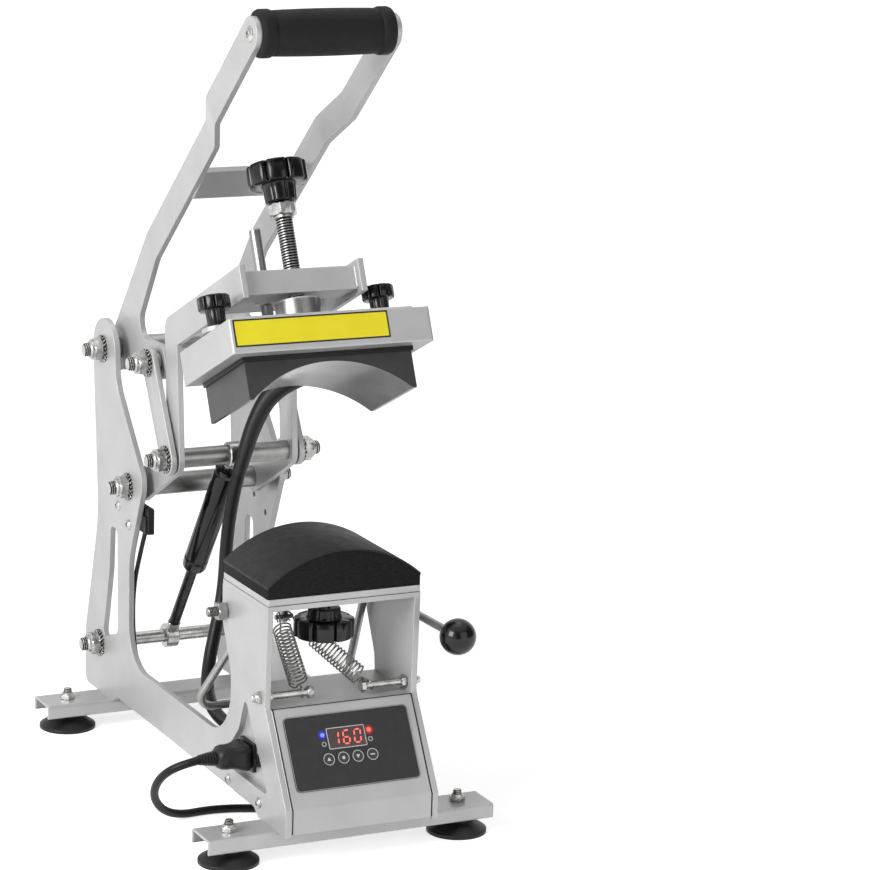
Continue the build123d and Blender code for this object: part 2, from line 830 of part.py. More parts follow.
# ---------------------------------------------------------------- handle
# In the handle's frame the grip lies level to the front of the crank pivot
lobe_inner = lobe_outer - plate_thickness
grip_end_radius = handle_width / 2
crank_y, crank_z = polar((0, 0), crank_length, -grip_lead_angle)
arm_strap = ((-grip_reach, 0, grip_end_radius), (-arm_bend[0], arm_bend[1], grip_end_radius))
neck_strap = ((-arm_bend[0], arm_bend[1], grip_end_radius), (0, 0, crank_boss_radius))
lobe_strap = ((0, 0, crank_boss_radius - 2.0), (crank_y, crank_z, link_lobe_radius))
crotch = (-41.0, -12.0)
screw_hole = 4.0

for hand, sign in (("left", -1), ("right", 1)):
    with BuildPart() as handle_arm:
        with BuildSketch(side(sign * (lobe_inner - 1), on_handle)):
            add(strap(*arm_strap))
            add(strap(*neck_strap))
            add(strap(*lobe_strap))
            with Locations((0, 0)):
                Circle(rod_radius + running_gap, mode=Mode.SUBTRACT)
            with Locations((crank_y, crank_z)):
                Circle(rod_radius + bolt_gap, mode=Mode.SUBTRACT)
            with Locations((-grip_reach, 0)):
                Circle(screw_hole + bolt_gap, mode=Mode.SUBTRACT)
        extrude(amount=sign * (grip_inner + plate_thickness + 2 - lobe_inner))
        with BuildSketch(placed(on_handle, Plane(origin=(0, 0, 60), x_dir=(0, 1, 0), z_dir=(0, 0, -1)))):
            add(
                outline(
                    (40.0, sign * lobe_inner, 0.0),
                    (-joggle_start, sign * lobe_inner, 25.0),
                    (-joggle_end, sign * grip_inner, 20.0),
                    (-grip_reach - 40.0, sign * grip_inner, 0.0),
                    (-grip_reach - 40.0, sign * (grip_inner + plate_thickness), 0.0),
                    (-joggle_end, sign * (grip_inner + plate_thickness), 25.0),
                    (-joggle_start, sign * lobe_outer, 20.0),
                    (40.0, sign * lobe_outer, 0.0),
                )
            )
        extrude(amount=160, mode=Mode.INTERSECT)
        crotch_edges = handle_arm.edges().filter_by(Axis.X)
        crotch_point = (on_handle * Location((sign * lobe_inner, *crotch))).position
        fillet(crotch_edges.sort_by_distance(crotch_point)[0], 14.0)
    handle_arm.part.label = f"handle_arm_{hand}"
    export_step(handle_arm.part, f"parts/handle_arm_{hand}.step")

with BuildPart() as handle_crossbar:
    with BuildSketch(side(-lobe_inner, on_handle)):
        with Locations((-(stop_bar_start + stop_bar_end) / 2, stop_bar_thickness / 2)):
            Rectangle(stop_bar_end - stop_bar_start, stop_bar_thickness)
    extrude(amount=2 * lobe_inner)
    pin_notch_radius = guide_pin_radius + pin_notch_gap
    pin_notch_centre = pin_notch_depth - pin_notch_radius - stop_bar_end
    with BuildSketch(placed(on_handle, Plane.XY)):
        add(strap((0, pin_notch_centre, pin_notch_radius), (0, -stop_bar_end, pin_notch_radius)))
    extrude(amount=stop_bar_thickness, mode=Mode.SUBTRACT)
handle_crossbar.part.label = "handle_crossbar"
export_step(handle_crossbar.part, "parts/handle_crossbar.step")

# The grip's foam sleeve, slightly bellied between its end collars
with BuildPart() as handle_grip:
    barrel_half = grip_inner - grip_collar_width
    with BuildSketch(placed(on_handle, Plane(origin=(0, -grip_reach, 0), x_dir=(1, 0, 0), z_dir=(0, -1, 0)))):
        with BuildLine():
            Polyline(
                (barrel_half, grip_radius),
                (barrel_half + 1.5, grip_collar_radius),
                (grip_inner - 1.5, grip_collar_radius),
                (grip_inner, grip_collar_radius - 1.5),
                (grip_inner, screw_hole + bolt_gap),
                (-grip_inner, screw_hole + bolt_gap),
                (-grip_inner, grip_collar_radius - 1.5),
                (1.5 - grip_inner, grip_collar_radius),
                (-barrel_half - 1.5, grip_collar_radius),
                (-barrel_half, grip_radius),
            )
            ThreePointArc((-barrel_half, grip_radius), (0, grip_belly), (barrel_half, grip_radius))
        make_face()
    grip_location = on_handle * Location((0, -grip_reach, 0))
    revolve(axis=Axis(grip_location.position, (1, 0, 0)))
handle_grip.part.label = "handle_grip"
export_step(handle_grip.part, "parts/handle_grip.step")

# Rods that tie the two handle arms together
link_outer = plate_inner - face_gap
link_inner = link_outer - link_thickness
link_rod_end = link_outer + seat_gap + washer_height + rod_nut_height + rod_stub
grip_screw_end = grip_inner + plate_thickness
with BuildPart() as handle_rods:
    with BuildSketch(side(-lobe_inner, on_handle)):
        Circle(sleeve_radius)
        Circle(sleeve_bore, mode=Mode.SUBTRACT)
    extrude(amount=2 * lobe_inner)
    with BuildSketch(side(-lobe_inner)):
        with Locations(link_pin):
            Circle(sleeve_radius)
    extrude(amount=2 * lobe_inner)
    with BuildSketch(side(-link_rod_end)):
        with Locations(link_pin):
            Circle(rod_radius)
    extrude(amount=2 * link_rod_end)
    for sign in (-1, 1):
        with BuildSketch(facing(sign * lobe_outer, link_pin)):
            Circle(spacer_radius)
        extrude(amount=link_inner - seat_gap - lobe_outer)
        with Locations(facing(sign * (link_outer + seat_gap), link_pin)):
            add(locked_nut())
        with BuildSketch(facing(sign * grip_screw_end, (-grip_reach, 0), on_handle)):
            Circle(7.0)
        extrude(amount=2.5, taper=25)
    with BuildSketch(side(-grip_screw_end, on_handle)):
        with Locations((-grip_reach, 0)):
            Circle(screw_hole)
    extrude(amount=2 * grip_screw_end)
handle_rods.part.label = "handle_rods"
export_step(handle_rods.part, "parts/handle_rods.step")

# ---------------------------------------------------------------- links
# Each hangs from the handle's lower rod and carries its own toggle bolt
for hand, sign in (("left", -1), ("right", 1)):
    with BuildPart() as link:
        with BuildSketch(side(sign * link_inner)):
            add(strap((*link_pin, yoke_width / 2), (*toggle_pin, yoke_width / 2)))
            with Locations(link_pin):
                Circle(rod_radius + running_gap, mode=Mode.SUBTRACT)
        extrude(amount=sign * link_thickness)
        toggle_face = facing(sign * link_outer, toggle_pin)
        with Locations(toggle_face):
            add(locked_nut())
        with BuildSketch(toggle_face):
            Circle(rod_radius)
        extrude(amount=washer_height + rod_nut_height + rod_stub)
    link.part.label = f"link_{hand}"
    export_step(link.part, f"parts/link_{hand}.step")

# ---------------------------------------------------------------- upper arm, in its closed pose
yoke_inner = yoke_outer - plate_thickness
half_yoke = yoke_width / 2
bend_y, bend_z = yoke_bend
front_bar_bottom = bend_z + half_yoke - 4.0 - front_bar_height
rear_plate_top = bend_z + half_yoke - 2.0

for hand, sign in (("left", -1), ("right", 1)):
    with BuildPart() as yoke:
        with BuildSketch(side(sign * yoke_inner, on_arm)):
            add(strap((*arm_pivot, half_yoke), (*toggle_pin_closed, half_yoke)))
            add(strap((*toggle_pin_closed, half_yoke), (bend_y, bend_z, half_yoke)))
            with Locations(((yoke_front + bend_y) / 2, bend_z)):
                Rectangle(bend_y - yoke_front, yoke_width)
            with Locations(arm_pivot):
                Circle(rod_radius + running_gap, mode=Mode.SUBTRACT)
            with Locations(toggle_pin_closed):
                Circle(rod_radius + bolt_gap, mode=Mode.SUBTRACT)
        extrude(amount=sign * plate_thickness)
    yoke.part.label = f"yoke_{hand}"
    export_step(yoke.part, f"parts/yoke_{hand}.step")

with BuildPart() as yoke_front_bar:
    with BuildSketch(side(-yoke_inner, on_arm)):
        with Locations(((front_bar_front + front_bar_rear) / 2, front_bar_bottom + front_bar_height / 2)):
            Rectangle(front_bar_rear - front_bar_front, front_bar_height)
    extrude(amount=2 * yoke_inner)
    with BuildSketch(placed(on_arm, Plane((0, screw_axis, front_bar_bottom)))):
        Circle(screw_thread_radius + running_gap)
    extrude(amount=front_bar_height, mode=Mode.SUBTRACT)
yoke_front_bar.part.label = "yoke_front_bar"
export_step(yoke_front_bar.part, "parts/yoke_front_bar.step")

bush_drop = 6.0
bush_rise = 5.0
with BuildPart() as yoke_rear_plate:
    with BuildSketch(placed(on_arm, Plane((0, 0, rear_plate_top - rear_plate_thickness)))):
        with Locations((0, (rear_plate_front + rear_plate_rear) / 2)):
            Rectangle(2 * yoke_inner, rear_plate_rear - rear_plate_front)
    extrude(amount=rear_plate_thickness)
    bush_foot = placed(on_arm, Plane((0, guide_axis, rear_plate_top - rear_plate_thickness - bush_drop)))
    with BuildSketch(bush_foot):
        Circle(guide_bush_radius)
    extrude(amount=rear_plate_thickness + bush_drop + bush_rise)
    with BuildSketch(bush_foot):
        Circle(guide_pin_radius + running_gap)
    extrude(amount=rear_plate_thickness + bush_drop + bush_rise, mode=Mode.SUBTRACT)
yoke_rear_plate.part.label = "yoke_rear_plate"
export_step(yoke_rear_plate.part, "parts/yoke_rear_plate.step")

# The rubber stop that meets the handle's crossbar when the press is shut
shut_slope = tan(radians(grip_angle - handle_travel))
buffer_rear = buffer_centre + buffer_radius
buffer_top = p1z + (p1y - buffer_rear) * shut_slope - seat_gap
with BuildPart() as stop_buffer:
    with BuildSketch(placed(on_arm, Plane((0, buffer_centre, rear_plate_top)))):
        Circle(buffer_radius)
    extrude(amount=buffer_top - rear_plate_top)
stop_buffer.part.label = "stop_buffer"
export_step(stop_buffer.part, "parts/stop_buffer.step")

toggle_sleeve_radius = 8.5
with BuildPart() as arm_shafts:
    with BuildSketch(side(-yoke_inner, on_arm)):
        with Locations(arm_pivot):
            Circle(arm_sleeve_radius)
            Circle(sleeve_bore, mode=Mode.SUBTRACT)
    extrude(amount=2 * yoke_inner)
    with BuildSketch(side(-link_inner + 1.0)):
        with Locations(toggle_pin):
            Circle(rod_radius)
    extrude(amount=2 * (link_inner - 1.0))
    for sign in (-1, 1):
        with BuildSketch(facing(sign * (gas_eye_width / 2 + seat_gap), toggle_pin)):
            Circle(toggle_sleeve_radius)
        extrude(amount=yoke_inner - gas_eye_width / 2 - seat_gap)
arm_shafts.part.label = "arm_shafts"
export_step(arm_shafts.part, "parts/arm_shafts.step")

# ---------------------------------------------------------------- gas spring
gas_length = hypot(spring_pivot[0] - toggle_pin[0], spring_pivot[1] - toggle_pin[1])
gas_direction = Vector(0, spring_pivot[0] - toggle_pin[0], spring_pivot[1] - toggle_pin[1]).normalized()
gas_neck = 16.0
gas_neck_radius = 5.0
gas_shank_radius = 5.6
gas_bore = gas_rod_radius + 1.1


def along_gas(distance):
    """A plane across the gas spring, a distance down from its upper eye."""
    origin = Vector(0, *toggle_pin) + gas_direction * distance
    return Plane(origin=origin, x_dir=(1, 0, 0), z_dir=gas_direction)


with BuildPart() as gas_cylinder:
    with BuildSketch(side(-gas_eye_width / 2)):
        with Locations(toggle_pin):
            Circle(gas_eye_radius)
    extrude(amount=gas_eye_width)
    with BuildSketch(along_gas(0)):
        Circle(gas_neck_radius)
    extrude(amount=gas_neck + 2.0)
    with BuildSketch(along_gas(gas_neck)):
        Circle(gas_tube_radius)
    extrude(amount=gas_tube_end - gas_neck)
    with BuildSketch(along_gas(gas_tube_end)):
        Circle(gas_bore)
    extrude(amount=-(gas_tube_end - gas_neck - 12.0), mode=Mode.SUBTRACT)
    with BuildSketch(side(-gas_eye_width / 2)):
        with Locations(toggle_pin):
            Circle(rod_radius + running_gap)
    extrude(amount=gas_eye_width, mode=Mode.SUBTRACT)
gas_cylinder.part.label = "gas_cylinder"
export_step(gas_cylinder.part, "parts/gas_cylinder.step")

with BuildPart() as gas_rod:
    with BuildSketch(side(-gas_eye_width / 2)):
        with Locations(spring_pivot):
            Circle(gas_eye_radius)
    extrude(amount=gas_eye_width)
    with BuildSketch(along_gas(gas_length)):
        Circle(gas_shank_radius)
    extrude(amount=-gas_neck - 4.0)
    with BuildSketch(along_gas(gas_length)):
        Circle(gas_rod_radius)
    extrude(amount=-gas_rod_length)
    with BuildSketch(side(-gas_eye_width / 2)):
        with Locations(spring_pivot):
            Circle(rod_radius + running_gap)
    extrude(amount=gas_eye_width, mode=Mode.SUBTRACT)
gas_rod.part.label = "gas_rod"
export_step(gas_rod.part, "parts/gas_rod.step")

# ---------------------------------------------------------------- platen, in its closed pose
platen_depth = platen_rear - platen_front
platen_middle = (platen_front + platen_rear) / 2
housing_middle = (housing_front + housing_rear) / 2
lid_bottom = housing_bottom + housing_height - 2.5
lid_top = lid_bottom + 3.0
lid_inset = 7.0
retainer_thickness = 4.0
retainer_top = lid_top + retainer_thickness
hub_radius = 19.0
hub_top = front_bar_bottom - 4.5
clamp_x = 73.0
clamp_stud = 4.0

with BuildPart() as platen_housing:
    with BuildSketch(placed(on_arm, Plane((0, housing_middle, housing_bottom)))):
        RectangleRounded(2 * housing_half_length, housing_rear - housing_front, 2.0)
    extrude(amount=lid_bottom - housing_bottom)
    with BuildSketch(placed(on_arm, Plane((0, housing_middle, lid_bottom)))):
        lid_length = 2 * (housing_half_length - lid_inset)
        lid_depth = housing_rear - housing_front - 2 * lid_inset
        RectangleRounded(lid_length, lid_depth, 8.0)
    extrude(amount=lid_top - lid_bottom, taper=20)
    with BuildSketch(placed(on_arm, Plane((0, screw_axis, lid_top)))):
        with Locations((-clamp_x, 0), (clamp_x, 0)):
            Circle(clamp_stud + running_gap)
    extrude(amount=-8.0, mode=Mode.SUBTRACT)
platen_housing.part.label = "platen_housing"
export_step(platen_housing.part, "parts/platen_housing.step")

hollow_half = platen_half_length - platen_land
platen_arc_radius = (hollow_half**2 + platen_hollow**2) / (2 * platen_hollow)
with BuildPart() as heating_block:
    with BuildSketch(placed(on_arm, Plane.XZ.offset(-platen_rear))):
        with BuildLine():
            Polyline(
                (hollow_half, platen_bottom),
                (platen_half_length, platen_bottom),
                (platen_half_length, housing_bottom),
                (-platen_half_length, housing_bottom),
                (-platen_half_length, platen_bottom),
                (-hollow_half, platen_bottom),
            )
            RadiusArc((-hollow_half, platen_bottom), (hollow_half, platen_bottom), platen_arc_radius)
        make_face()
    extrude(amount=platen_depth)
heating_block.part.label = "heating_block"
export_step(heating_block.part, "parts/heating_block.step")

# Oblong retainer with the screw's swivel hub, and the guide pin on its own flat
pin_flat = 6.0
with BuildPart() as retaining_plate:
    with BuildSketch(placed(on_arm, Plane((0, screw_axis, lid_top)))):
        add(strap((-clamp_x, 0, 13.0), (clamp_x, 0, 13.0)))
        Circle(hub_radius + 8.0)
        with Locations((-clamp_x, 0), (clamp_x, 0)):
            Circle(clamp_stud + running_gap, mode=Mode.SUBTRACT)
    extrude(amount=retainer_thickness)
    with BuildSketch(placed(on_arm, Plane((0, screw_axis, retainer_top)))):
        Circle(hub_radius)
    extrude(amount=hub_top - retainer_top)
    with BuildSketch(placed(on_arm, Plane((0, screw_axis, retainer_top)))):
        add(strap((0, 0, 11.0), (0, guide_axis - screw_axis, 11.0)))
    extrude(amount=pin_flat)
    with BuildSketch(placed(on_arm, Plane((0, guide_axis, retainer_top)))):
        Circle(guide_pin_radius)
    extrude(amount=guide_pin_top - retainer_top)
    with BuildSketch(placed(on_arm, Plane((0, screw_axis, hub_top)))):
        Circle(screw_thread_radius + running_gap)
    extrude(amount=-10.0, mode=Mode.SUBTRACT)
retaining_plate.part.label = "retaining_plate"
export_step(retaining_plate.part, "parts/retaining_plate.step")

hub_height = 15.0
jam_nut_height = 10.0
with BuildPart() as pressure_screw:
    with BuildSketch(placed(on_arm, Plane((0, screw_axis, hub_top - 9.5)))):
        Circle(screw_thread_radius)
    extrude(amount=knob_bottom - hub_height - hub_top + 9.5)
    with Locations(on_arm * Location((0, screw_axis, knob_bottom - hub_height - jam_nut_height - 1.0))):
        add(nut(22.0, jam_nut_height))
pressure_screw.part.label = "pressure_screw"
export_step(pressure_screw.part, "parts/pressure_screw.step")

knob_top = knob_bottom + knob_height
with BuildPart() as pressure_knob:
    knob_plane = Plane(origin=(0, screw_axis, knob_top), x_dir=(1, 0, 0), z_dir=(0, 0, -1))
    with Locations(on_arm * knob_plane.location):
        add(star(knob_radius, 8, knob_height, 14.0, hub_height))
pressure_knob.part.label = "pressure_knob"
export_step(pressure_knob.part, "parts/pressure_knob.step")

clamp_head = 11.0
clamp_hub = 14.7
for hand, sign in (("left", -1), ("right", 1)):
    with BuildPart() as clamp_knob:
        top = Plane(
            origin=(sign * clamp_x, screw_axis, retainer_top + seat_gap + clamp_hub + clamp_head),
            x_dir=(1, 0, 0),
            z_dir=(0, 0, -1),
        )
        with Locations(on_arm * top.location):
            add(star(13.5, 8, clamp_head, 8.0, clamp_hub))
        with BuildSketch(placed(on_arm, Plane((sign * clamp_x, screw_axis, retainer_top + seat_gap)))):
            Circle(clamp_stud)
        extrude(amount=-retainer_thickness - 7.0)
    clamp_knob.part.label = f"clamp_knob_{hand}"
    export_step(clamp_knob.part, f"parts/clamp_knob_{hand}.step")

gland_centre = (62.0, 290.0)
gland_nut = 5.0
gland_length = 14.0
gland_radius = 8.5
with BuildPart() as cable_gland:
    gland_seat = (gland_centre[0], housing_rear, gland_centre[1])
    gland_plane = Plane(origin=gland_seat, x_dir=(1, 0, 0), z_dir=(0, 1, 0))
    with Locations(on_arm * gland_plane.location):
        add(nut(19.0, gland_nut))
    with BuildSketch(placed(on_arm, gland_plane.offset(gland_nut))):
        Circle(gland_radius)
    extrude(amount=gland_length - gland_nut, taper=8)
cable_gland.part.label = "cable_gland"
export_step(cable_gland.part, "parts/cable_gland.step")
gland_mouth = (on_arm * Location((gland_centre[0], housing_rear + gland_length, gland_centre[1]))).position
print("gland mouth", gland_mouth)

with BuildPart() as heater_cable:
    with BuildLine() as heater_path:
        FilletPolyline(*heater_route, radius=bend_radii(heater_route, "heater cable"))
    with BuildSketch(Plane(origin=heater_path.line @ 0, z_dir=heater_path.line % 0)):
        Circle(heater_lead_radius)
    sweep()
heater_cable.part.label = "heater_cable"
export_step(heater_cable.part, "parts/heater_cable.step")

# ---------------------------------------------------------------- cap bail, lever and springs
lever_x = 72.0
lever_radius = 3.5
bail_end = 75.0
bail_corner = 12.0
lug_x, lug_y, lug_z = bail_lug
lug_pin_radius = 2.0
ball_x, ball_y, ball_z = ball_centre
bail_y, bail_z = bail_pivot
bail_left = 81.0
bail_knee = (-80.0, 143.0)
bail_right = 57.0
with BuildPart() as bail:
    with BuildSketch(side(-bail_end)):
        with Locations(bail_pivot):
            Circle(bail_rod_radius)
    extrude(amount=2 * bail_end)
    with BuildSketch(side(lug_x - 2.0)):
        add(strap((bail_y, bail_z, 7.0), (lug_y, lug_z, 4.5)))
    extrude(amount=4.0)
    with BuildSketch(side(lug_x - 8.0)):
        with Locations((lug_y, lug_z)):
            Circle(lug_pin_radius)
    extrude(amount=16.0)
    with BuildLine() as bail_path:
        FilletPolyline(
            (-bail_right, bail_y, bail_z),
            (-bail_right, *bail_knee),
            (-bail_left, *bail_bar),
            (bail_right, *bail_bar),
            (bail_right, bail_y, bail_z),
            radius=bail_corner,
        )
    with BuildSketch(Plane(origin=bail_path.line @ 0, z_dir=bail_path.line % 0)):
        Circle(bail_rod_radius - 0.5)
    sweep()
    with BuildLine() as lever_path:
        lever_start = (lever_x, bail_y, bail_z)
        FilletPolyline(lever_start, (lever_x + 2.0, bail_y - 40.0, bail_z), ball_centre, radius=30.0)
    with BuildSketch(Plane(origin=lever_path.line @ 0, z_dir=lever_path.line % 0)):
        Circle(lever_radius)
    sweep()
    with Locations(ball_centre):
        Sphere(ball_radius - 0.5, mode=Mode.SUBTRACT)
bail.part.label = "bail"
export_step(bail.part, "parts/bail.step")

with BuildPart() as lever_ball:
    with Locations(ball_centre):
        Sphere(ball_radius)
    add(bail.part, mode=Mode.SUBTRACT)
lever_ball.part.label = "lever_ball"
export_step(lever_ball.part, "parts/lever_ball.step")

# Extension springs from the studs to the lug's cross pin: close coils between wire eyes
hook_gap = 0.25
stud_eye = stud_radius + hook_gap + coil_wire / 2
pin_eye = lug_pin_radius + hook_gap + coil_wire / 2
stud_eye_x = hook_x + 8.0
spring_spans = {
    "left": (Vector(-stud_eye_x, *hook_stud), Vector(lug_x - 5.0, lug_y, lug_z), 0.16, 0.84),
    "right": (Vector(stud_eye_x, *hook_stud), Vector(lug_x + 5.0, lug_y, lug_z), 0.14, 0.62),
}
for hand, (stud_point, pin_point, coil_start, coil_stop) in spring_spans.items():
    span = pin_point - stud_point
    along = span.normalized()
    with BuildPart() as return_spring:
        with BuildSketch(Plane(origin=stud_point + span * coil_start, z_dir=along)):
            Circle(coil_radius)
        extrude(amount=span.length * (coil_stop - coil_start))
        with BuildSketch(Plane(origin=stud_point + span * coil_start + along * coil_wire, z_dir=along)):
            Circle(coil_radius - coil_wire)
        extrude(amount=span.length * (coil_stop - coil_start) - 2 * coil_wire, mode=Mode.SUBTRACT)
        for eye_point, eye_radius, start, stop in (
            (stud_point, stud_eye, stud_eye, span.length * coil_start),
            (pin_point, pin_eye, span.length * coil_stop, span.length - pin_eye),
        ):
            with Locations(Plane(origin=eye_point, x_dir=(0, 1, 0), z_dir=(1, 0, 0))):
                Torus(eye_radius, coil_wire / 2)
            with BuildSketch(Plane(origin=stud_point + along * start, z_dir=along)):
                Circle(coil_wire / 2)
            extrude(amount=stop - start)
    return_spring.part.label = f"return_spring_{hand}"
    export_step(return_spring.part, f"parts/return_spring_{hand}.step")

# ---------------------------------------------------------------- lid switch and its lead
bracket_sheet = 1.5
bracket_ear_radius = 7.0
bracket_size = (34.0, 15.0)
switch_size = (27.0, 23.0)
switch_depth = 5.4
bracket_offset = (-10.4, 5.1)  # from the front hole to the bracket's middle
switch_offset = (-17.4, 8.6)  # and to the switch's
with BuildPart() as microswitch:
    with BuildSketch(side(-plate_inner)):
        add(strap(*((*hole, bracket_ear_radius) for hole in bracket_holes)))
        front_y, front_z = bracket_holes[1]
        with Locations((front_y + bracket_offset[0], front_z + bracket_offset[1])):
            Rectangle(*bracket_size)
        with Locations(*bracket_holes):
            Circle(screw_radius + bolt_gap, mode=Mode.SUBTRACT)
    extrude(amount=bracket_sheet)
    with BuildSketch(side(-plate_inner + bracket_sheet)):
        with Locations((front_y + switch_offset[0], front_z + switch_offset[1])):
            RectangleRounded(*switch_size, 1.5)
    extrude(amount=switch_depth)
microswitch.part.label = "microswitch"
export_step(microswitch.part, "parts/microswitch.step")

with BuildPart() as switch_cable:
    with BuildLine() as signal_path:
        FilletPolyline(*signal_route, radius=bend_radii(signal_route, "switch cable"))
    with BuildSketch(Plane(origin=signal_path.line @ 0, z_dir=signal_path.line % 0)):
        Circle(signal_lead_radius)
    sweep()
switch_cable.part.label = "switch_cable"
export_step(switch_cable.part, "parts/switch_cable.step")

clip_place = (55.0, 50.5)
clip_size = (8.0, 12.0)
clip_depth = 6.0
with BuildPart() as cable_clip:
    with BuildSketch(side(-plate_inner)):
        with Locations(clip_place):
            RectangleRounded(*clip_size, 1.5)
    extrude(amount=clip_depth)
    add(switch_cable.part, mode=Mode.SUBTRACT)
cable_clip.part.label = "cable_clip"
export_step(cable_clip.part, "parts/cable_clip.step")

# ---------------------------------------------------------------- joint values for the record
print("link pin", link_pin, "toggle pin", toggle_pin)
print("arm travel", arm_travel, "link turn", link_turn, "gas turn", gas_turn)
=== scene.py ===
import json
from math import atan2, cos, degrees, pi, radians, sin, sqrt

import bmesh
import bpy
from mathutils import Matrix, Vector

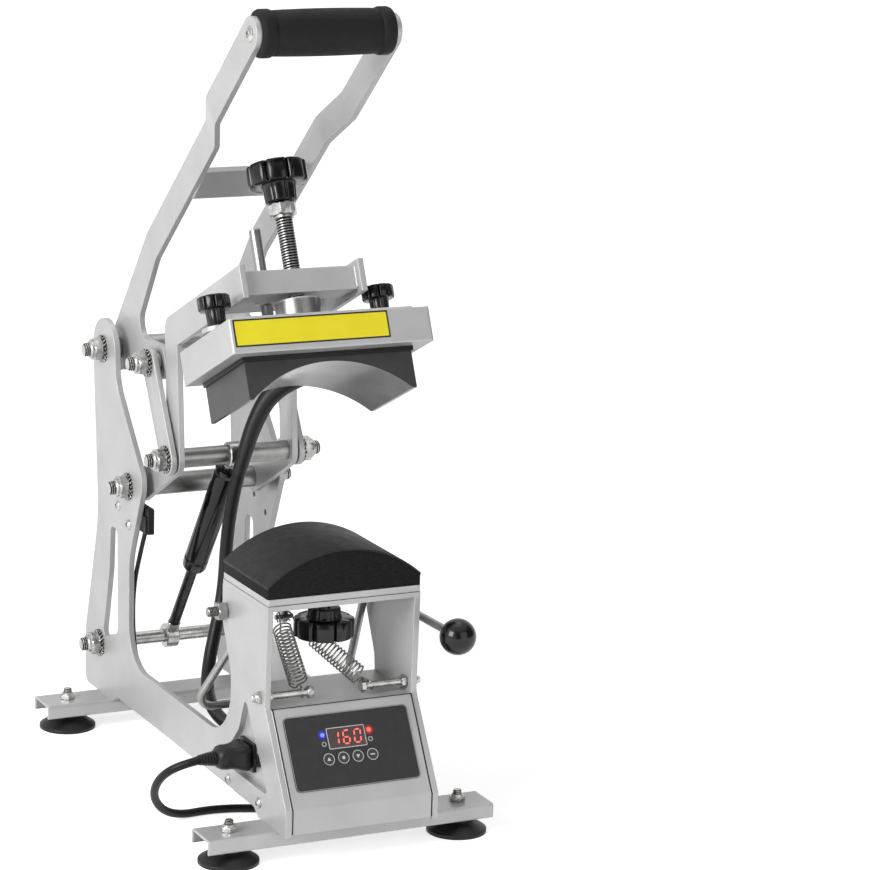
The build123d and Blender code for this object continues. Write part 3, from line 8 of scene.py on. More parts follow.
# A clamshell press for transfers on caps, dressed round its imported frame. +X right as the operator
# sees it, +Y to the back, +Z up. It stands open, with its handle up. Points are Vectors in metres;
# sizes, profiles and outlines are in millimetres until a piece is placed.
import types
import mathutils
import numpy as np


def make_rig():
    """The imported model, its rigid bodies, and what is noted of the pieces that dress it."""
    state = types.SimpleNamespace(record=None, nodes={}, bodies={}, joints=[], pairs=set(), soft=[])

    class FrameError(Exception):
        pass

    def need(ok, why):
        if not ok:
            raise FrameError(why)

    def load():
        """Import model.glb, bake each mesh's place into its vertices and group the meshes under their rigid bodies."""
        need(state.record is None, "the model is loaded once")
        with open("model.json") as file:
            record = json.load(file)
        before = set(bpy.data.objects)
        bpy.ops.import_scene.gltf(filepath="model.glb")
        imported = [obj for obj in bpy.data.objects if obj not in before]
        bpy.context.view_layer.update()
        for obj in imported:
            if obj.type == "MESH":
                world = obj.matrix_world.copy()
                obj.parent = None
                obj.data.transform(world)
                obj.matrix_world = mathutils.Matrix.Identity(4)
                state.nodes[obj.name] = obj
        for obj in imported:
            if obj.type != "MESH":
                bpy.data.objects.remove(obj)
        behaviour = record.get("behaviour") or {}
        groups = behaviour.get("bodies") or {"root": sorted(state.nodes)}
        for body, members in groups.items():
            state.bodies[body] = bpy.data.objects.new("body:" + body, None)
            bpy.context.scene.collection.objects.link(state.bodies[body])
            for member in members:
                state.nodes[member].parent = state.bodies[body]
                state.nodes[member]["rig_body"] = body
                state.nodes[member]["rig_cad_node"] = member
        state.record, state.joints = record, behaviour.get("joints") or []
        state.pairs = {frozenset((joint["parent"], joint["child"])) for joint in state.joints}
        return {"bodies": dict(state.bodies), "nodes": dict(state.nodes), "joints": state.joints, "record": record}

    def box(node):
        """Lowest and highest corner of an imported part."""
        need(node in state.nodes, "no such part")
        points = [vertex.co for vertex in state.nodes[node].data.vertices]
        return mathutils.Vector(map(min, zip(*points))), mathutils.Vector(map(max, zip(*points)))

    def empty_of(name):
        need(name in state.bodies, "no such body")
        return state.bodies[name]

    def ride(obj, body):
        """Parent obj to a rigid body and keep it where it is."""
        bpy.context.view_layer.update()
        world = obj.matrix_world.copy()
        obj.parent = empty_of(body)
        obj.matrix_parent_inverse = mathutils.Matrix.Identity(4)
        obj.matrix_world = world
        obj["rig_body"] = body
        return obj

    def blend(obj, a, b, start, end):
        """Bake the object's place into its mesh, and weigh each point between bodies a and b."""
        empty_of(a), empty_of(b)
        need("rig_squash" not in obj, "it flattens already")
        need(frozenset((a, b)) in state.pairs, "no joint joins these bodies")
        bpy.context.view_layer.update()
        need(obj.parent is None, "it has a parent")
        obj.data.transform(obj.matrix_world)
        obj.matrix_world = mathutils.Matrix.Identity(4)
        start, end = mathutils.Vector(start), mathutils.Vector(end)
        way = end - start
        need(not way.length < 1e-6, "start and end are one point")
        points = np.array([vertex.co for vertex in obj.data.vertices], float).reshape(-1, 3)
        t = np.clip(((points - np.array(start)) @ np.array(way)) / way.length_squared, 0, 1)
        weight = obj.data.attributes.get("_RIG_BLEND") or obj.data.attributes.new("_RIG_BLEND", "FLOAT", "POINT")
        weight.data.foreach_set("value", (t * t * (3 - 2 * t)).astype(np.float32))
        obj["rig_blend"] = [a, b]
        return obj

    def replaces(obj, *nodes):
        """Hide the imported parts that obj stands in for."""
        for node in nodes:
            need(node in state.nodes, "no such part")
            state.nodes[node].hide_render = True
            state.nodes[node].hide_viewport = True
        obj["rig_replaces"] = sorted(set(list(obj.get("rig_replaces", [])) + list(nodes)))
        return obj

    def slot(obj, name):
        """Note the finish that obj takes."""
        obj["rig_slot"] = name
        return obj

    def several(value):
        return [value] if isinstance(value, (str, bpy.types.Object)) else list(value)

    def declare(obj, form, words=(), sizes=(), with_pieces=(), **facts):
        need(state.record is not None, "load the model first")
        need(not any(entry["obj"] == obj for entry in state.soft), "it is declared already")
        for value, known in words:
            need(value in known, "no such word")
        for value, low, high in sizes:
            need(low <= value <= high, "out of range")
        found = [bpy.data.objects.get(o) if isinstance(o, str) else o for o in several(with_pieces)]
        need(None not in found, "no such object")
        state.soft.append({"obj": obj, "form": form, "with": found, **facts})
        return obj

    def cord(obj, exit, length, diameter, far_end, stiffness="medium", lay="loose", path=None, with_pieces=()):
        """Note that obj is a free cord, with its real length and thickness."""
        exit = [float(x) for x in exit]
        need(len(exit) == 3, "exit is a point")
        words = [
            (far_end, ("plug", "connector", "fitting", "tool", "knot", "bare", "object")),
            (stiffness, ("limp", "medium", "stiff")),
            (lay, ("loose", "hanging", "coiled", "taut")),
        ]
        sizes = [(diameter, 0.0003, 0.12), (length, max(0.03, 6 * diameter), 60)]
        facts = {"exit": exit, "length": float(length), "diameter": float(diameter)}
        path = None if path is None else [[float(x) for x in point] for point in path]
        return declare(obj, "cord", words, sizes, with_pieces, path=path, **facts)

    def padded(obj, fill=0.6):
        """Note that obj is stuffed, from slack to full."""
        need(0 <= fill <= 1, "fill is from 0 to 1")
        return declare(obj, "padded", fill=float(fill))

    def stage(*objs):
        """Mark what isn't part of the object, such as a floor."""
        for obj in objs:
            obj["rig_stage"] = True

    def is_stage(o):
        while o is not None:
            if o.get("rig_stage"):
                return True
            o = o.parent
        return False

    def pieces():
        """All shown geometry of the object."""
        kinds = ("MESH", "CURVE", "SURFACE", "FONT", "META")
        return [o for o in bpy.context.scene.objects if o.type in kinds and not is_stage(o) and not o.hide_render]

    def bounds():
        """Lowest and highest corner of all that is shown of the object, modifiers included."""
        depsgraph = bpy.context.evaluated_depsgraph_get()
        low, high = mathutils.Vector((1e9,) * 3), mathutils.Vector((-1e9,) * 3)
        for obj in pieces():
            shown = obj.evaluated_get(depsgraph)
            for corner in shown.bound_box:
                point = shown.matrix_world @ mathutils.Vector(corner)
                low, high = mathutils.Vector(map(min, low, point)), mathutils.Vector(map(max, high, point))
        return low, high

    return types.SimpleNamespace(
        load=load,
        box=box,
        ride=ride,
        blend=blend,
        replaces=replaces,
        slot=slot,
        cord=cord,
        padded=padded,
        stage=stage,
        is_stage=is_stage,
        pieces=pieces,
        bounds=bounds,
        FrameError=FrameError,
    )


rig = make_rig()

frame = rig.load()
cad_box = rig.bounds()
nodes = frame["nodes"]
joints = {joint["name"]: joint for joint in frame["joints"]}
MM = 0.001

# ---------------------------------------------------------------- named places, from the frame
crank_pivot = Vector(joints["handle_fold"]["pos_m"])
arm_pivot = Vector(joints["arm_fold"]["pos_m"])
link_pin = Vector(joints["link_swing"]["pos_m"])
toggle_pin = Vector(joints["gas_cylinder_swing"]["pos_m"])
spring_pivot = Vector(joints["gas_rod_swing"]["pos_m"])
bail_pivot = Vector(joints["bail_swing"]["pos_m"])
rocker_pivot = Vector(joints["rocker_tilt"]["pos_m"])
lift = Vector(joints["platen_slide"]["axis"]).normalized()
arm_rise = atan2(lift.y, lift.z)
handle_rise = radians(45.0)
key_push = Vector(joints["key_1_press"]["axis"]).normalized()

# Where level, closed shapes stand when the arm is up, and where a flat handle stands
at_arm = Matrix.Translation(arm_pivot)
on_arm = at_arm @ Matrix.Rotation(-arm_rise, 4, "X") @ at_arm.inverted()
on_handle = Matrix.Translation(crank_pivot) @ Matrix.Rotation(-handle_rise, 4, "X")

# Sizes that the frame doesn't name. X is half of a width; Y and Z are those of the closed arm.
plate_outer = 67.5
link_outer = 62.0
link_inner = 57.0
yoke_outer = 55.0
lobe_outer = 52.0
sheet_thick = 5.0
running_gap = 0.3
rod_radius = 6.0
rod_slack = 0.02
spacer_radius = 9.0
sleeve_radius = 10.0
washer_radius = 12.0
washer_height = 2.5
nut_flats = 19.0
nut_height = 10.8
rod_stub = 5.0
grip_reach = 442.0
screw_y = -139.0
guide_y = -75.0
clamp_x = 73.0
retainer_top = 308.5
hub_top = 326.25
knob_bottom = 425.0
knob_height = 18.0
housing_front = -200.0
pad_y = -141.0
hook_y = -167.5
hook_z = 127.5
inlet_y = -137.5
inlet_z = 70.0
hands = (("left", -1), ("right", 1))

# Leads, in metres
mains_length = 1.15
heater_top_length = 0.079
heater_length = 0.40
signal_length = 0.37


# ---------------------------------------------------------------- colour and nodes
def linear(code):
    """An sRGB hex code as a linear colour."""
    parts = [int(code[i:i + 2], 16) / 255 for i in (1, 3, 5)]
    return [c / 12.92 if c <= 0.04045 else ((c + 0.055) / 1.055) ** 2.4 for c in parts] + [1.0]


def fill_in(node, inputs):
    """Sets a node's inputs to values, or links them from other nodes' sockets."""
    for name, value in inputs.items():
        if isinstance(value, bpy.types.NodeSocket):
            node.id_data.links.new(value, node.inputs[name])
        else:
            node.inputs[name].default_value = value


def add_node(tree, kind, inputs=None, **settings):
    """Adds a node: settings are its properties, inputs hold values, or sockets to link from."""
    made = tree.nodes.new(kind)
    for name, value in settings.items():
        setattr(made, name, value)
    fill_in(made, inputs or {})
    return made


def emptied(owner):
    """The node tree of a material or a world, with nothing in it yet."""
    owner.use_nodes = True
    owner.node_tree.nodes.clear()
    return owner.node_tree


def new_material(name):
    """A material with its shader, and object coordinates in millimetres."""
    material = bpy.data.materials.new(name)
    tree = emptied(material)
    shader = add_node(tree, "ShaderNodeBsdfPrincipled")
    add_node(tree, "ShaderNodeOutputMaterial", {"Surface": shader.outputs[0]})
    place = add_node(tree, "ShaderNodeTexCoord").outputs["Object"]
    scaled = {0: place, 1: (1000, 1000, 1000)}
    to_mm = add_node(tree, "ShaderNodeVectorMath", scaled, operation="MULTIPLY")
    return material, shader, to_mm.outputs[0]


def noise(place, size_mm, detail=2.0, roughness=0.5):
    """Noise whose features are about size_mm across."""
    inputs = {"Vector": place, "Scale": 1 / size_mm, "Detail": detail, "Roughness": roughness}
    return add_node(place.id_data, "ShaderNodeTexNoise", inputs).outputs["Fac"]


def between(fac, low, high, start=0.3, stop=0.7, **settings):
    """A number spread from low to high as fac goes from start to stop."""
    inputs = {"Value": fac, "From Min": start, "From Max": stop, "To Min": low, "To Max": high}
    return add_node(fac.id_data, "ShaderNodeMapRange", inputs, **settings).outputs[0]


def two_tone(fac, dark, light):
    """A colour that goes from dark to light with fac."""
    ramp = add_node(fac.id_data, "ShaderNodeValToRGB", {"Fac": fac})
    for stop, position, code in zip(ramp.color_ramp.elements, (0.3, 0.7), (dark, light)):
        stop.position = position
        stop.color = linear(code)
    return ramp.outputs[0]


def raised(fac, depth_mm, normal=None):
    """A bump of depth_mm from fac, over another normal if there is one."""
    inputs = {"Height": fac, "Distance": depth_mm * MM, "Strength": 1.0}
    if normal is not None:
        inputs["Normal"] = normal
    return add_node(fac.id_data, "ShaderNodeBump", inputs).outputs[0]


def soft_edge(tree, radius_mm):
    """A normal that rounds the eye's view of an edge."""
    return add_node(tree, "ShaderNodeBevel", {"Radius": radius_mm * MM}, samples=6).outputs[0]


def facing(normal, way):
    """The cosine between a normal and another direction."""
    both = {0: normal, 1: way}
    made = add_node(normal.id_data, "ShaderNodeVectorMath", both, operation="DOT_PRODUCT")
    return made.outputs["Value"]


def length_of(vector):
    """A vector's length."""
    made = add_node(vector.id_data, "ShaderNodeVectorMath", {0: vector}, operation="LENGTH")
    return made.outputs["Value"]


# ---------------------------------------------------------------- materials
def surface(
    name, tones, tone_mm, gloss, gloss_mm=6.0, detail=2.0, edge_mm=0.0, grain=None, **constants
):
    """A material whose tone and roughness drift over patches of real sizes. grain is (size, depth)."""
    material, shader, place = new_material(name)
    inputs = {key.replace("_", " "): value for key, value in constants.items()}
    inputs["Base Color"] = two_tone(noise(place, tone_mm, detail), *tones)
    inputs["Roughness"] = between(noise(place, gloss_mm), *gloss)
    if edge_mm:
        inputs["Normal"] = soft_edge(place.id_data, edge_mm)
    if grain:
        grain_mm, depth_mm = grain
        inputs["Normal"] = raised(noise(place, grain_mm), depth_mm, inputs["Normal"])
    fill_in(shader, inputs)
    return material


def stoved_enamel(name="stoved_enamel", edge_mm=1.1):
    """Silver stoving enamel with fine metal flake on sheet steel: faint orange peel, and a painted highlight that
    makes the edges paler.
    """
    material, shader, place = new_material(name)
    tree = place.id_data
    rounded = soft_edge(tree, edge_mm)
    true_normal = add_node(tree, "ShaderNodeNewGeometry").outputs["Normal"]
    # Painted highlight: where the rounded normal turns from the true one, the colour is mixed towards pale grey.
    edge_highlight = between(facing(rounded, true_normal), 0.0, 1.0, 1.0, 0.8)
    body = two_tone(noise(place, 38.0, 3.0), "#bdbdbd", "#c6c6c6")
    paler_tone = add_node(tree, "ShaderNodeMix", {0: edge_highlight, 6: body, 7: linear("#dededd")}, data_type="RGBA")
    peel = raised(noise(place, 1.6), 0.012, rounded)
    flake = between(noise(place, 0.9, 1.0), 0.36, 0.46)
    inputs = {"Base Color": paler_tone.outputs[2], "Normal": peel, "Roughness": flake, "Metallic": 0.35}
    fill_in(shader, inputs)
    return material


def zinc_plate(name="zinc_plate", tones=("#a6a6a4", "#c6c6c4"), gloss=(0.22, 0.34)):
    """Bright zinc electroplate on turned steel: cool, nearly mirror, a little dulled in patches."""
    return surface(name, tones, 7.0, gloss, 5.0, edge_mm=0.35, Metallic=1.0)


def turned_steel():
    """Turned steel with a light oil film: greyer and duller than the plated nuts."""
    return zinc_plate("turned_steel", ("#969695", "#a2a2a1"), (0.34, 0.4))


def painted_groove_shade():
    """Painted shade in the grooves of a thread and between a washer's teeth: dark grey metal."""
    return zinc_plate("painted_groove_shade", ("#29292a", "#343434"), (0.4, 0.5))


def drawn_rod():
    """Bright drawn bar for the bail, zinc flashed: even mid grey."""
    return zinc_plate("drawn_rod", ("#929291", "#a6a6a5"), (0.3, 0.4))


def spring_wire():
    """Drawn spring steel wire, zinc flashed: bright along the turns, grey between."""
    return zinc_plate("spring_wire", ("#a4a4a2", "#c8c8c6"), (0.2, 0.3))


def moulded(name, tones, roughness, grain, shine):
    """A black moulding, rubber or film with a fine skin."""
    gloss = (roughness - 0.04, roughness + 0.05)
    return surface(name, tones, 9.0, gloss, 6.0, 3.0, 0.5, grain, Specular_IOR_Level=shine)


def phenolic():
    """Black phenolic resin, compression moulded: deep black with a hard gloss."""
    return moulded("phenolic", ("#070708", "#0c0c0d"), 0.2, (2.5, 0.008), 0.45)


def nylon():
    """Black moulded nylon: satin, slightly greyed."""
    return moulded("nylon", ("#101011", "#181819"), 0.42, (0.8, 0.02), 0.4)


def rubber():
    """Black moulded rubber: feet, buffer and gland, with a soft sheen."""
    return moulded("rubber", ("#0a0a0b", "#111112"), 0.45, (1.2, 0.03), 0.4)


def lead_jacket():
    """Black PVC jacket on the leads, extruded: satin with a faint draw."""
    return moulded("lead_jacket", ("#070708", "#0d0d0e"), 0.4, (2.2, 0.05), 0.3)


def black_enamel():
    """Gas spring's tube: black enamel baked on drawn tube, glossy."""
    return moulded("black_enamel", ("#060607", "#0a0a0b"), 0.14, (4.0, 0.008), 0.4)


def panel_film():
    """Printed polyester film over the panel: near black, satin."""
    return moulded("panel_film", ("#313032", "#363537"), 0.4, (1.0, 0.003), 0.35)


def nitrided_rod():
    """Gas spring's rod: ground steel, salt-bath nitrided, so nearly black with a metal gleam."""
    return surface("nitrided_rod", ("#2e2e30", "#3a3a3c"), 6.0, (0.2, 0.28), 4.0, Metallic=0.8)


def label_vinyl():
    """Yellow vinyl film: flat bright yellow with a slight gloss."""
    return surface("label_vinyl", ("#fae60a", "#fff01e"), 30.0, (0.32, 0.4), 4.0)


def pad_skin():
    """Black silicone foam's moulded skin: matt and even, on the pad's top."""
    tones = ("#1d1d1e", "#242425")
    gloss, grain = (0.55, 0.68), (0.7, 0.04)
    return surface("pad_skin", tones, 22.0, gloss, 8.0, 3.0, 0.8, grain, Specular_IOR_Level=0.35)


def grip_foam():
    """Black closed-cell foam, moulded: dull, with a fine skin of cells."""
    material, shader, place = new_material("grip_foam")
    cells = add_node(place.id_data, "ShaderNodeTexVoronoi", {"Vector": place, "Scale": 1 / 0.9})
    mottle = noise(place, 14.0, 4.0, 0.6)
    colour = two_tone(mottle, "#0a0a0b", "#151516")
    inputs = {"Base Color": colour, "Roughness": between(mottle, 0.62, 0.78)}
    inputs |= {"Normal": raised(cells.outputs["Distance"], 0.09), "Specular IOR Level": 0.3}
    fill_in(shader, inputs)
    return material


def pad_foam():
    """The pad's cut sides: foam sawn level, its cells drawn into fine rows, darker than its skin."""
    material, shader, place = new_material("pad_foam")
    tree = place.id_data
    drawn = add_node(tree, "ShaderNodeVectorMath", {0: place, 1: (0.4, 0.4, 1.6)}, operation="MULTIPLY")
    rows = noise(drawn.outputs[0], 1.6, 3.0, 0.6)
    inputs = {"Base Color": two_tone(rows, "#0b0b0c", "#1f1f20"), "Roughness": 0.85}
    inputs |= {"Normal": raised(rows, 0.35, soft_edge(tree, 0.8)), "Specular IOR Level": 0.25}
    fill_in(shader, inputs)
    return material


def heater_coat():
    """Cast aluminium with a dark non-stick coat: satin charcoal, worn bright in the hollow."""
    material, shader, place = new_material("heater_coat")
    tree = place.id_data
    normal = add_node(tree, "ShaderNodeNewGeometry").outputs["Normal"]
    hollow = between(facing(normal, tuple(-lift)), 0.0, 1.0, 0.45, 0.6)
    coat = two_tone(noise(place, 16.0, 3.0), "#333335", "#3c3c3e")
    paler_tone = two_tone(noise(place, 20.0, 3.0), "#656566", "#747475")
    tone = add_node(tree, "ShaderNodeMix", {0: hollow, 6: coat, 7: paler_tone}, data_type="RGBA")
    inputs = {"Base Color": tone.outputs[2], "Roughness": between(hollow, 0.42, 0.2, 0.0, 1.0)}
    inputs |= {"Metallic": between(hollow, 0.2, 1.0, 0.0, 1.0)}
    inputs |= {"Normal": raised(noise(place, 1.1), 0.02, soft_edge(tree, 0.6))}
    fill_in(shader, inputs)
    return material


def print_ink(name, code, glow=0.0):
    """Screen-printed ink, or a lit lens where it glows."""
    lit = {"Emission_Color": linear(code), "Emission_Strength": glow}
    return surface(name, (code, code), 3.0, (0.34, 0.44), 3.0, **lit)


def lamp_halo(name, code):
    """Panel film lit from within round a lamp: its glow fades out over 5 mm."""
    material, shader, place = new_material(name)
    near = between(length_of(place), 0.0, 1.0, 5.0, 1.4)
    glow = add_node(place.id_data, "ShaderNodeMath", {0: near, 1: 2.0}, operation="POWER").outputs[0]
    inputs = {"Base Color": linear("#343335"), "Roughness": 0.42, "Specular IOR Level": 0.35}
    inputs |= {"Emission Color": linear(code), "Emission Strength": glow}
    fill_in(shader, inputs)
    return material


def lens(name, dark, light, glow):
    """Tinted acrylic or polycarbonate, glossy, with light behind it."""
    lit = {"Coat_Weight": 0.5, "Emission_Color": linear(light), "Emission_Strength": glow}
    return surface(name, (dark, light), 2.5, (0.14, 0.14), edge_mm=0.6, **lit)


finishes = {
    "sheet_paint": stoved_enamel(),
    "zinc": zinc_plate(),
    "black_oxide": black_enamel(),
    "chrome": nitrided_rod(),
    "rubber_black": rubber(),
    "pad_rubber": pad_skin(),
    "foam": grip_foam(),
    "phenolic": phenolic(),
    "heater_coat": heater_coat(),
    "panel_film": panel_film(),
    "display": lens("display_lens", "#2a0505", "#380808", 0.0),
    "key_white": print_ink("key_film", "#3a393b"),
    "black_plastic": nylon(),
    "rocker_red": lens("rocker_lens", "#b3140f", "#c41b14", 0.05),
    "lamp_green": lens("lamp_lens", "#1f9a3a", "#2fbf4e", 0.25),
    "cord_jacket": lead_jacket(),
    "spring_wire": spring_wire(),
    "bright_steel": turned_steel(),
    "dark_root": painted_groove_shade(),
    "bail_steel": drawn_rod(),
    "folded_enamel": stoved_enamel("folded_enamel", 2.4),
    "cut_foam": pad_foam(),
    "yellow_vinyl": label_vinyl(),
    "black_ink": print_ink("black_ink", "#161616"),
    "white_ink": print_ink("white_ink", "#dcdcdc"),
    "grey_ink": print_ink("grey_ink", "#b9b9ba"),
    "red_light": print_ink("red_light", "#ff6254", 1.15),
    "blue_light": print_ink("blue_light", "#5a70ff", 1.6),
    "red_halo": lamp_halo("lamp_red_glow", "#ff1e14"),
    "blue_halo": lamp_halo("lamp_blue_glow", "#2a36ff"),
}

# A finish goes by the slot of its own name, but for these
slot_for = {"bright_steel": "zinc", "bail_steel": "zinc", "cut_foam": "pad_rubber"}
for name in ("yellow_vinyl", "black_ink", "white_ink", "grey_ink", "red_halo", "blue_halo"):
    slot_for[name] = "panel_film"
for name in ("red_light", "blue_light"):
    slot_for[name] = "display"

for part in frame["record"]["subparts"]:
    painted = nodes[part["node"]].data.materials
    painted.clear()
    painted.append(finishes[part["material_slot"]])
for name in ("platen_housing", "yoke_front_bar", "rail_front", "rail_rear", "pad_tray"):
    nodes[name].data.materials[0] = finishes["folded_enamel"]
nodes["bail"].data.materials[0] = finishes["bail_steel"]
nodes["arm_shafts"].data.materials[0] = finishes["bright_steel"]


# ---------------------------------------------------------------- shapes
def at(x, y, z):
    """A point given in millimetres."""
    return Vector((x, y, z)) * MM


def at_x(point, *places):
    """A pivot's point, moved to each X in millimetres."""
    return [Vector((x * MM, point.y, point.z)) for x in places]


def standing(point, axis, spin=0.0):
    """A matrix that sets Z along an axis at a point."""
    turn = Vector(axis).normalized().to_track_quat("Z", "Y").to_matrix().to_4x4()
    return Matrix.Translation(point) @ turn @ Matrix.Rotation(radians(spin), 4, "Z")


# Sets an outline's own X and Y along Y and Z, and its thickness along X
side_on = Matrix(((0, 0, 1, 0), (1, 0, 0, 0), (0, 1, 0, 0), (0, 0, 0, 1)))


def new_object(name, data):
    """An object in the scene."""
    made = bpy.data.objects.new(name, data)
    bpy.context.scene.collection.objects.link(made)
    return made


def new_piece(name, made, finish, slot=None, sharp=38.0):
    """A piece with its finish and slot from a bmesh, smooth but for edges sharper than an angle."""
    mesh = bpy.data.meshes.new(name)
    made.to_mesh(mesh)
    made.free()
    mesh.shade_smooth()
    mesh.set_sharp_from_angle(angle=radians(sharp))
    mesh.materials.append(finishes[finish])
    piece = new_object(name, mesh)
    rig.slot(piece, slot or slot_for.get(finish, finish))
    return piece


def add_mesh(name, fill, matrix, finish, body, replaced=(), sharp=38.0, slot=None):
    """A piece that fill draws in millimetres, placed by a matrix, that rides on a body."""
    made = bmesh.new()
    fill(made)
    bmesh.ops.recalc_face_normals(made, faces=made.faces)
    made.transform(matrix @ Matrix.Diagonal((MM, MM, MM, 1)))
    piece = new_piece(name, made, finish, slot, sharp)
    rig.ride(piece, body)
    if replaced:
        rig.replaces(piece, *replaced)
    return piece


def skin(mesh, rings, capped=False, looped=False):
    """Faces between closed rings, their ends capped, or joined to each other."""
    count = len(rings[0])
    for low, high in zip(rings, rings[1:] + (rings[:1] if looped else [])):
        for i in range(count):
            j = (i + 1) % count
            mesh.faces.new((low[i], low[j], high[j], high[i]))
    if capped:
        mesh.faces.new(rings[0])
        mesh.faces.new(rings[-1])


def stacked(sections, capped=False, looped=False):
    """A skin over a list of sections, each a list of points of the same count."""

    def fill(mesh):
        rings = [[mesh.verts.new(point) for point in section] for section in sections]
        skin(mesh, rings, capped, looped)

    return fill


def round_angles(steps):
    """The angles of a circle's points."""
    return [2 * pi * i / steps for i in range(steps)]


def lathe(profile, shape=None, steps=64, looped=False):
    """Turns (radius, height) pairs about Z, capped or, where looped, joined to a ring with a bore.

    shape(radius, height, angle) may change a radius.
    """
    sections = []
    for radius, height in profile:
        section = []
        for angle in round_angles(steps):
            out = shape(radius, height, angle) if shape else radius
            section.append((out * cos(angle), out * sin(angle), height))
        sections.append(section)
    return stacked(sections, not looped, looped)


def prism(outline, height, round_over=0.0, segments=2):
    """An outline in XY made height thick, its rims rounded."""

    def fill(mesh):
        rings = [[mesh.verts.new((x, y, z)) for x, y in outline] for z in (0, height)]
        skin(mesh, rings, capped=True)
        if round_over:
            bmesh.ops.recalc_face_normals(mesh, faces=mesh.faces)
            rims = [e for e in mesh.edges if e.verts[0].co.z == e.verts[1].co.z]
            shape = {"segments": segments, "affect": "EDGES", "profile": 0.5}
            # In metres for the bevel alone: it meets its short edges another way in millimetres
            bmesh.ops.scale(mesh, verts=mesh.verts, vec=(MM, MM, MM))
            bmesh.ops.bevel(mesh, geom=rims, offset=round_over * MM, **shape)
            bmesh.ops.scale(mesh, verts=mesh.verts, vec=(1 / MM, 1 / MM, 1 / MM))

    return fill


def arc(centre, radius, start, stop, steps):
    """Points along an arc, angles in degrees."""
    angles = [radians(start + (stop - start) * i / steps) for i in range(steps + 1)]
    return [(centre[0] + radius * cos(a), centre[1] + radius * sin(a)) for a in angles]


def rounded_box(length, width, radius, steps=5):
    """A rectangle about the origin with round corners."""
    x, y = length / 2 - radius, width / 2 - radius
    corners = (((x, y), 0), ((-x, y), 90), ((-x, -y), 180), ((x, -y), 270))
    return [p for centre, start in corners for p in arc(centre, radius, start, start + 90, steps)]


def hexagon(flats):
    """Holds a turned radius inside a hexagon."""

    def shape(radius, height, angle):
        return min(radius, flats / 2 / cos((angle % (pi / 3)) - pi / 6))

    return shape


def plain_rod(name, start, end, radius, finish, body, replaced=(), rim=0.4):
    """A turned rod or sleeve between two points."""
    length = (end - start).length / MM
    profile = ((radius - rim, 0), (radius, rim), (radius, length - rim), (radius - rim, length))
    add_mesh(name, lathe(profile, steps=48), standing(start, end - start), finish, body, replaced)


# ---------------------------------------------------------------- fasteners
def cut_thread(radius, pitch, length, steps=32):
    """A helical thread, cut square at both ends, with a chamfered tip."""
    depth = 0.55 * pitch
    tip = 0.2 * radius
    count = (int(length / pitch) + 3) * steps

    def fill(mesh):
        lines = []
        for share, out in ((0.0, radius), (0.42, radius), (0.7, radius - depth)):
            angles = [2 * pi * k / steps for k in range(count + 1)]
            heights = [pitch * (k / steps + share - 1.5) for k in range(count + 1)]
            points = [(out * cos(a), out * sin(a), z) for a, z in zip(angles, heights)]
            lines.append([mesh.verts.new(point) for point in points])
        crest, shoulder, root = lines
        for k in range(count):
            mesh.faces.new((crest[k], crest[k + 1], shoulder[k + 1], shoulder[k]))
            flanks = [mesh.faces.new((shoulder[k], shoulder[k + 1], root[k + 1], root[k]))]
            over = k + steps
            if over < count:
                flanks.append(mesh.faces.new((root[k], root[k + 1], crest[over + 1], crest[over])))
            # The flanks take the second material: painted shade in the grooves.
            for flank in flanks:
                flank.material_index = 1
        for height, way in ((0.0, -1), (length, 1)):
            plane = {"plane_co": (0, 0, height), "plane_no": (0, 0, way)}
            everything = mesh.verts[:] + mesh.edges[:] + mesh.faces[:]
            cut = bmesh.ops.bisect_plane(mesh, geom=everything, clear_outer=True, **plane)
            rim = [part for part in cut["geom_cut"] if isinstance(part, bmesh.types.BMEdge)]
            bmesh.ops.edgeloop_fill(mesh, edges=rim)
        for vertex in mesh.verts:
            allowed = radius - max(0.0, vertex.co.z - length + tip)
            out = vertex.co.xy.length
            if out > allowed:
                vertex.co.x *= allowed / out
                vertex.co.y *= allowed / out

    return fill


def threaded(name, matrix, radius, pitch, length, finish, body, replaced=()):
    """A threaded end with a chamfered tip, with painted shade in its grooves."""
    piece = add_mesh(name, cut_thread(radius, pitch, length), matrix, finish, body, replaced, 30)
    # The second material is painted shade for the flanks in the grooves.
    piece.data.materials.append(finishes["dark_root"])


def lock_nut(name, matrix, flats, height, bore, body, replaced=()):
    """A nylon-collar lock nut: chamfered hexagon under a round crown."""
    corner = flats / 2 / cos(pi / 6)
    top = 0.74 * height
    chamfer = 0.58 * (corner - 0.49 * flats)
    profile = [(0.49 * flats, 0.0), (corner, chamfer), (corner, top - chamfer), (0.49 * flats, top)]
    profile += [(0.43 * flats, top), (0.42 * flats, height - 0.06 * flats), (0.36 * flats, height)]
    profile += [(bore, height), (bore, height - 0.1 * flats)]
    add_mesh(name, lathe(profile, hexagon(flats), 72), matrix, "zinc", body, replaced, 25)


def toothed_washer(name, matrix, body):
    """A serrated lock washer: bright twisted teeth, with painted shade on the walls between them."""
    teeth, tooth_depth = 20, 0.19
    radius, height = washer_radius, washer_height

    def shape(out, z, angle):
        if out < 0.9 * radius:
            return out
        wave = sin(teeth * angle + (1.0 if z > height / 2 else -1.0))
        return out - (tooth_depth * radius if wave > 0 else 0.0)

    rim = [(radius, share * height) for share in (0.0, 0.4, 0.6, 1.0)]
    profile = [(0.5 * radius, 0.0)] + rim + [(0.5 * radius, height)]
    piece = add_mesh(name, lathe(profile, shape, 220), matrix, "zinc", body, sharp=30)
    piece.data.materials.append(finishes["dark_root"])
    axis = matrix.col[2].xyz
    # Painted shade: the walls in the gaps between the teeth take the dark second material.
    for face in piece.data.polygons:
        arm = face.center - matrix.translation
        share = (arm - axis * arm.dot(axis)).length / (radius * MM)
        if 0.8 < share < 0.92 and abs(face.normal.dot(axis)) < 0.5:
            face.material_index = 1


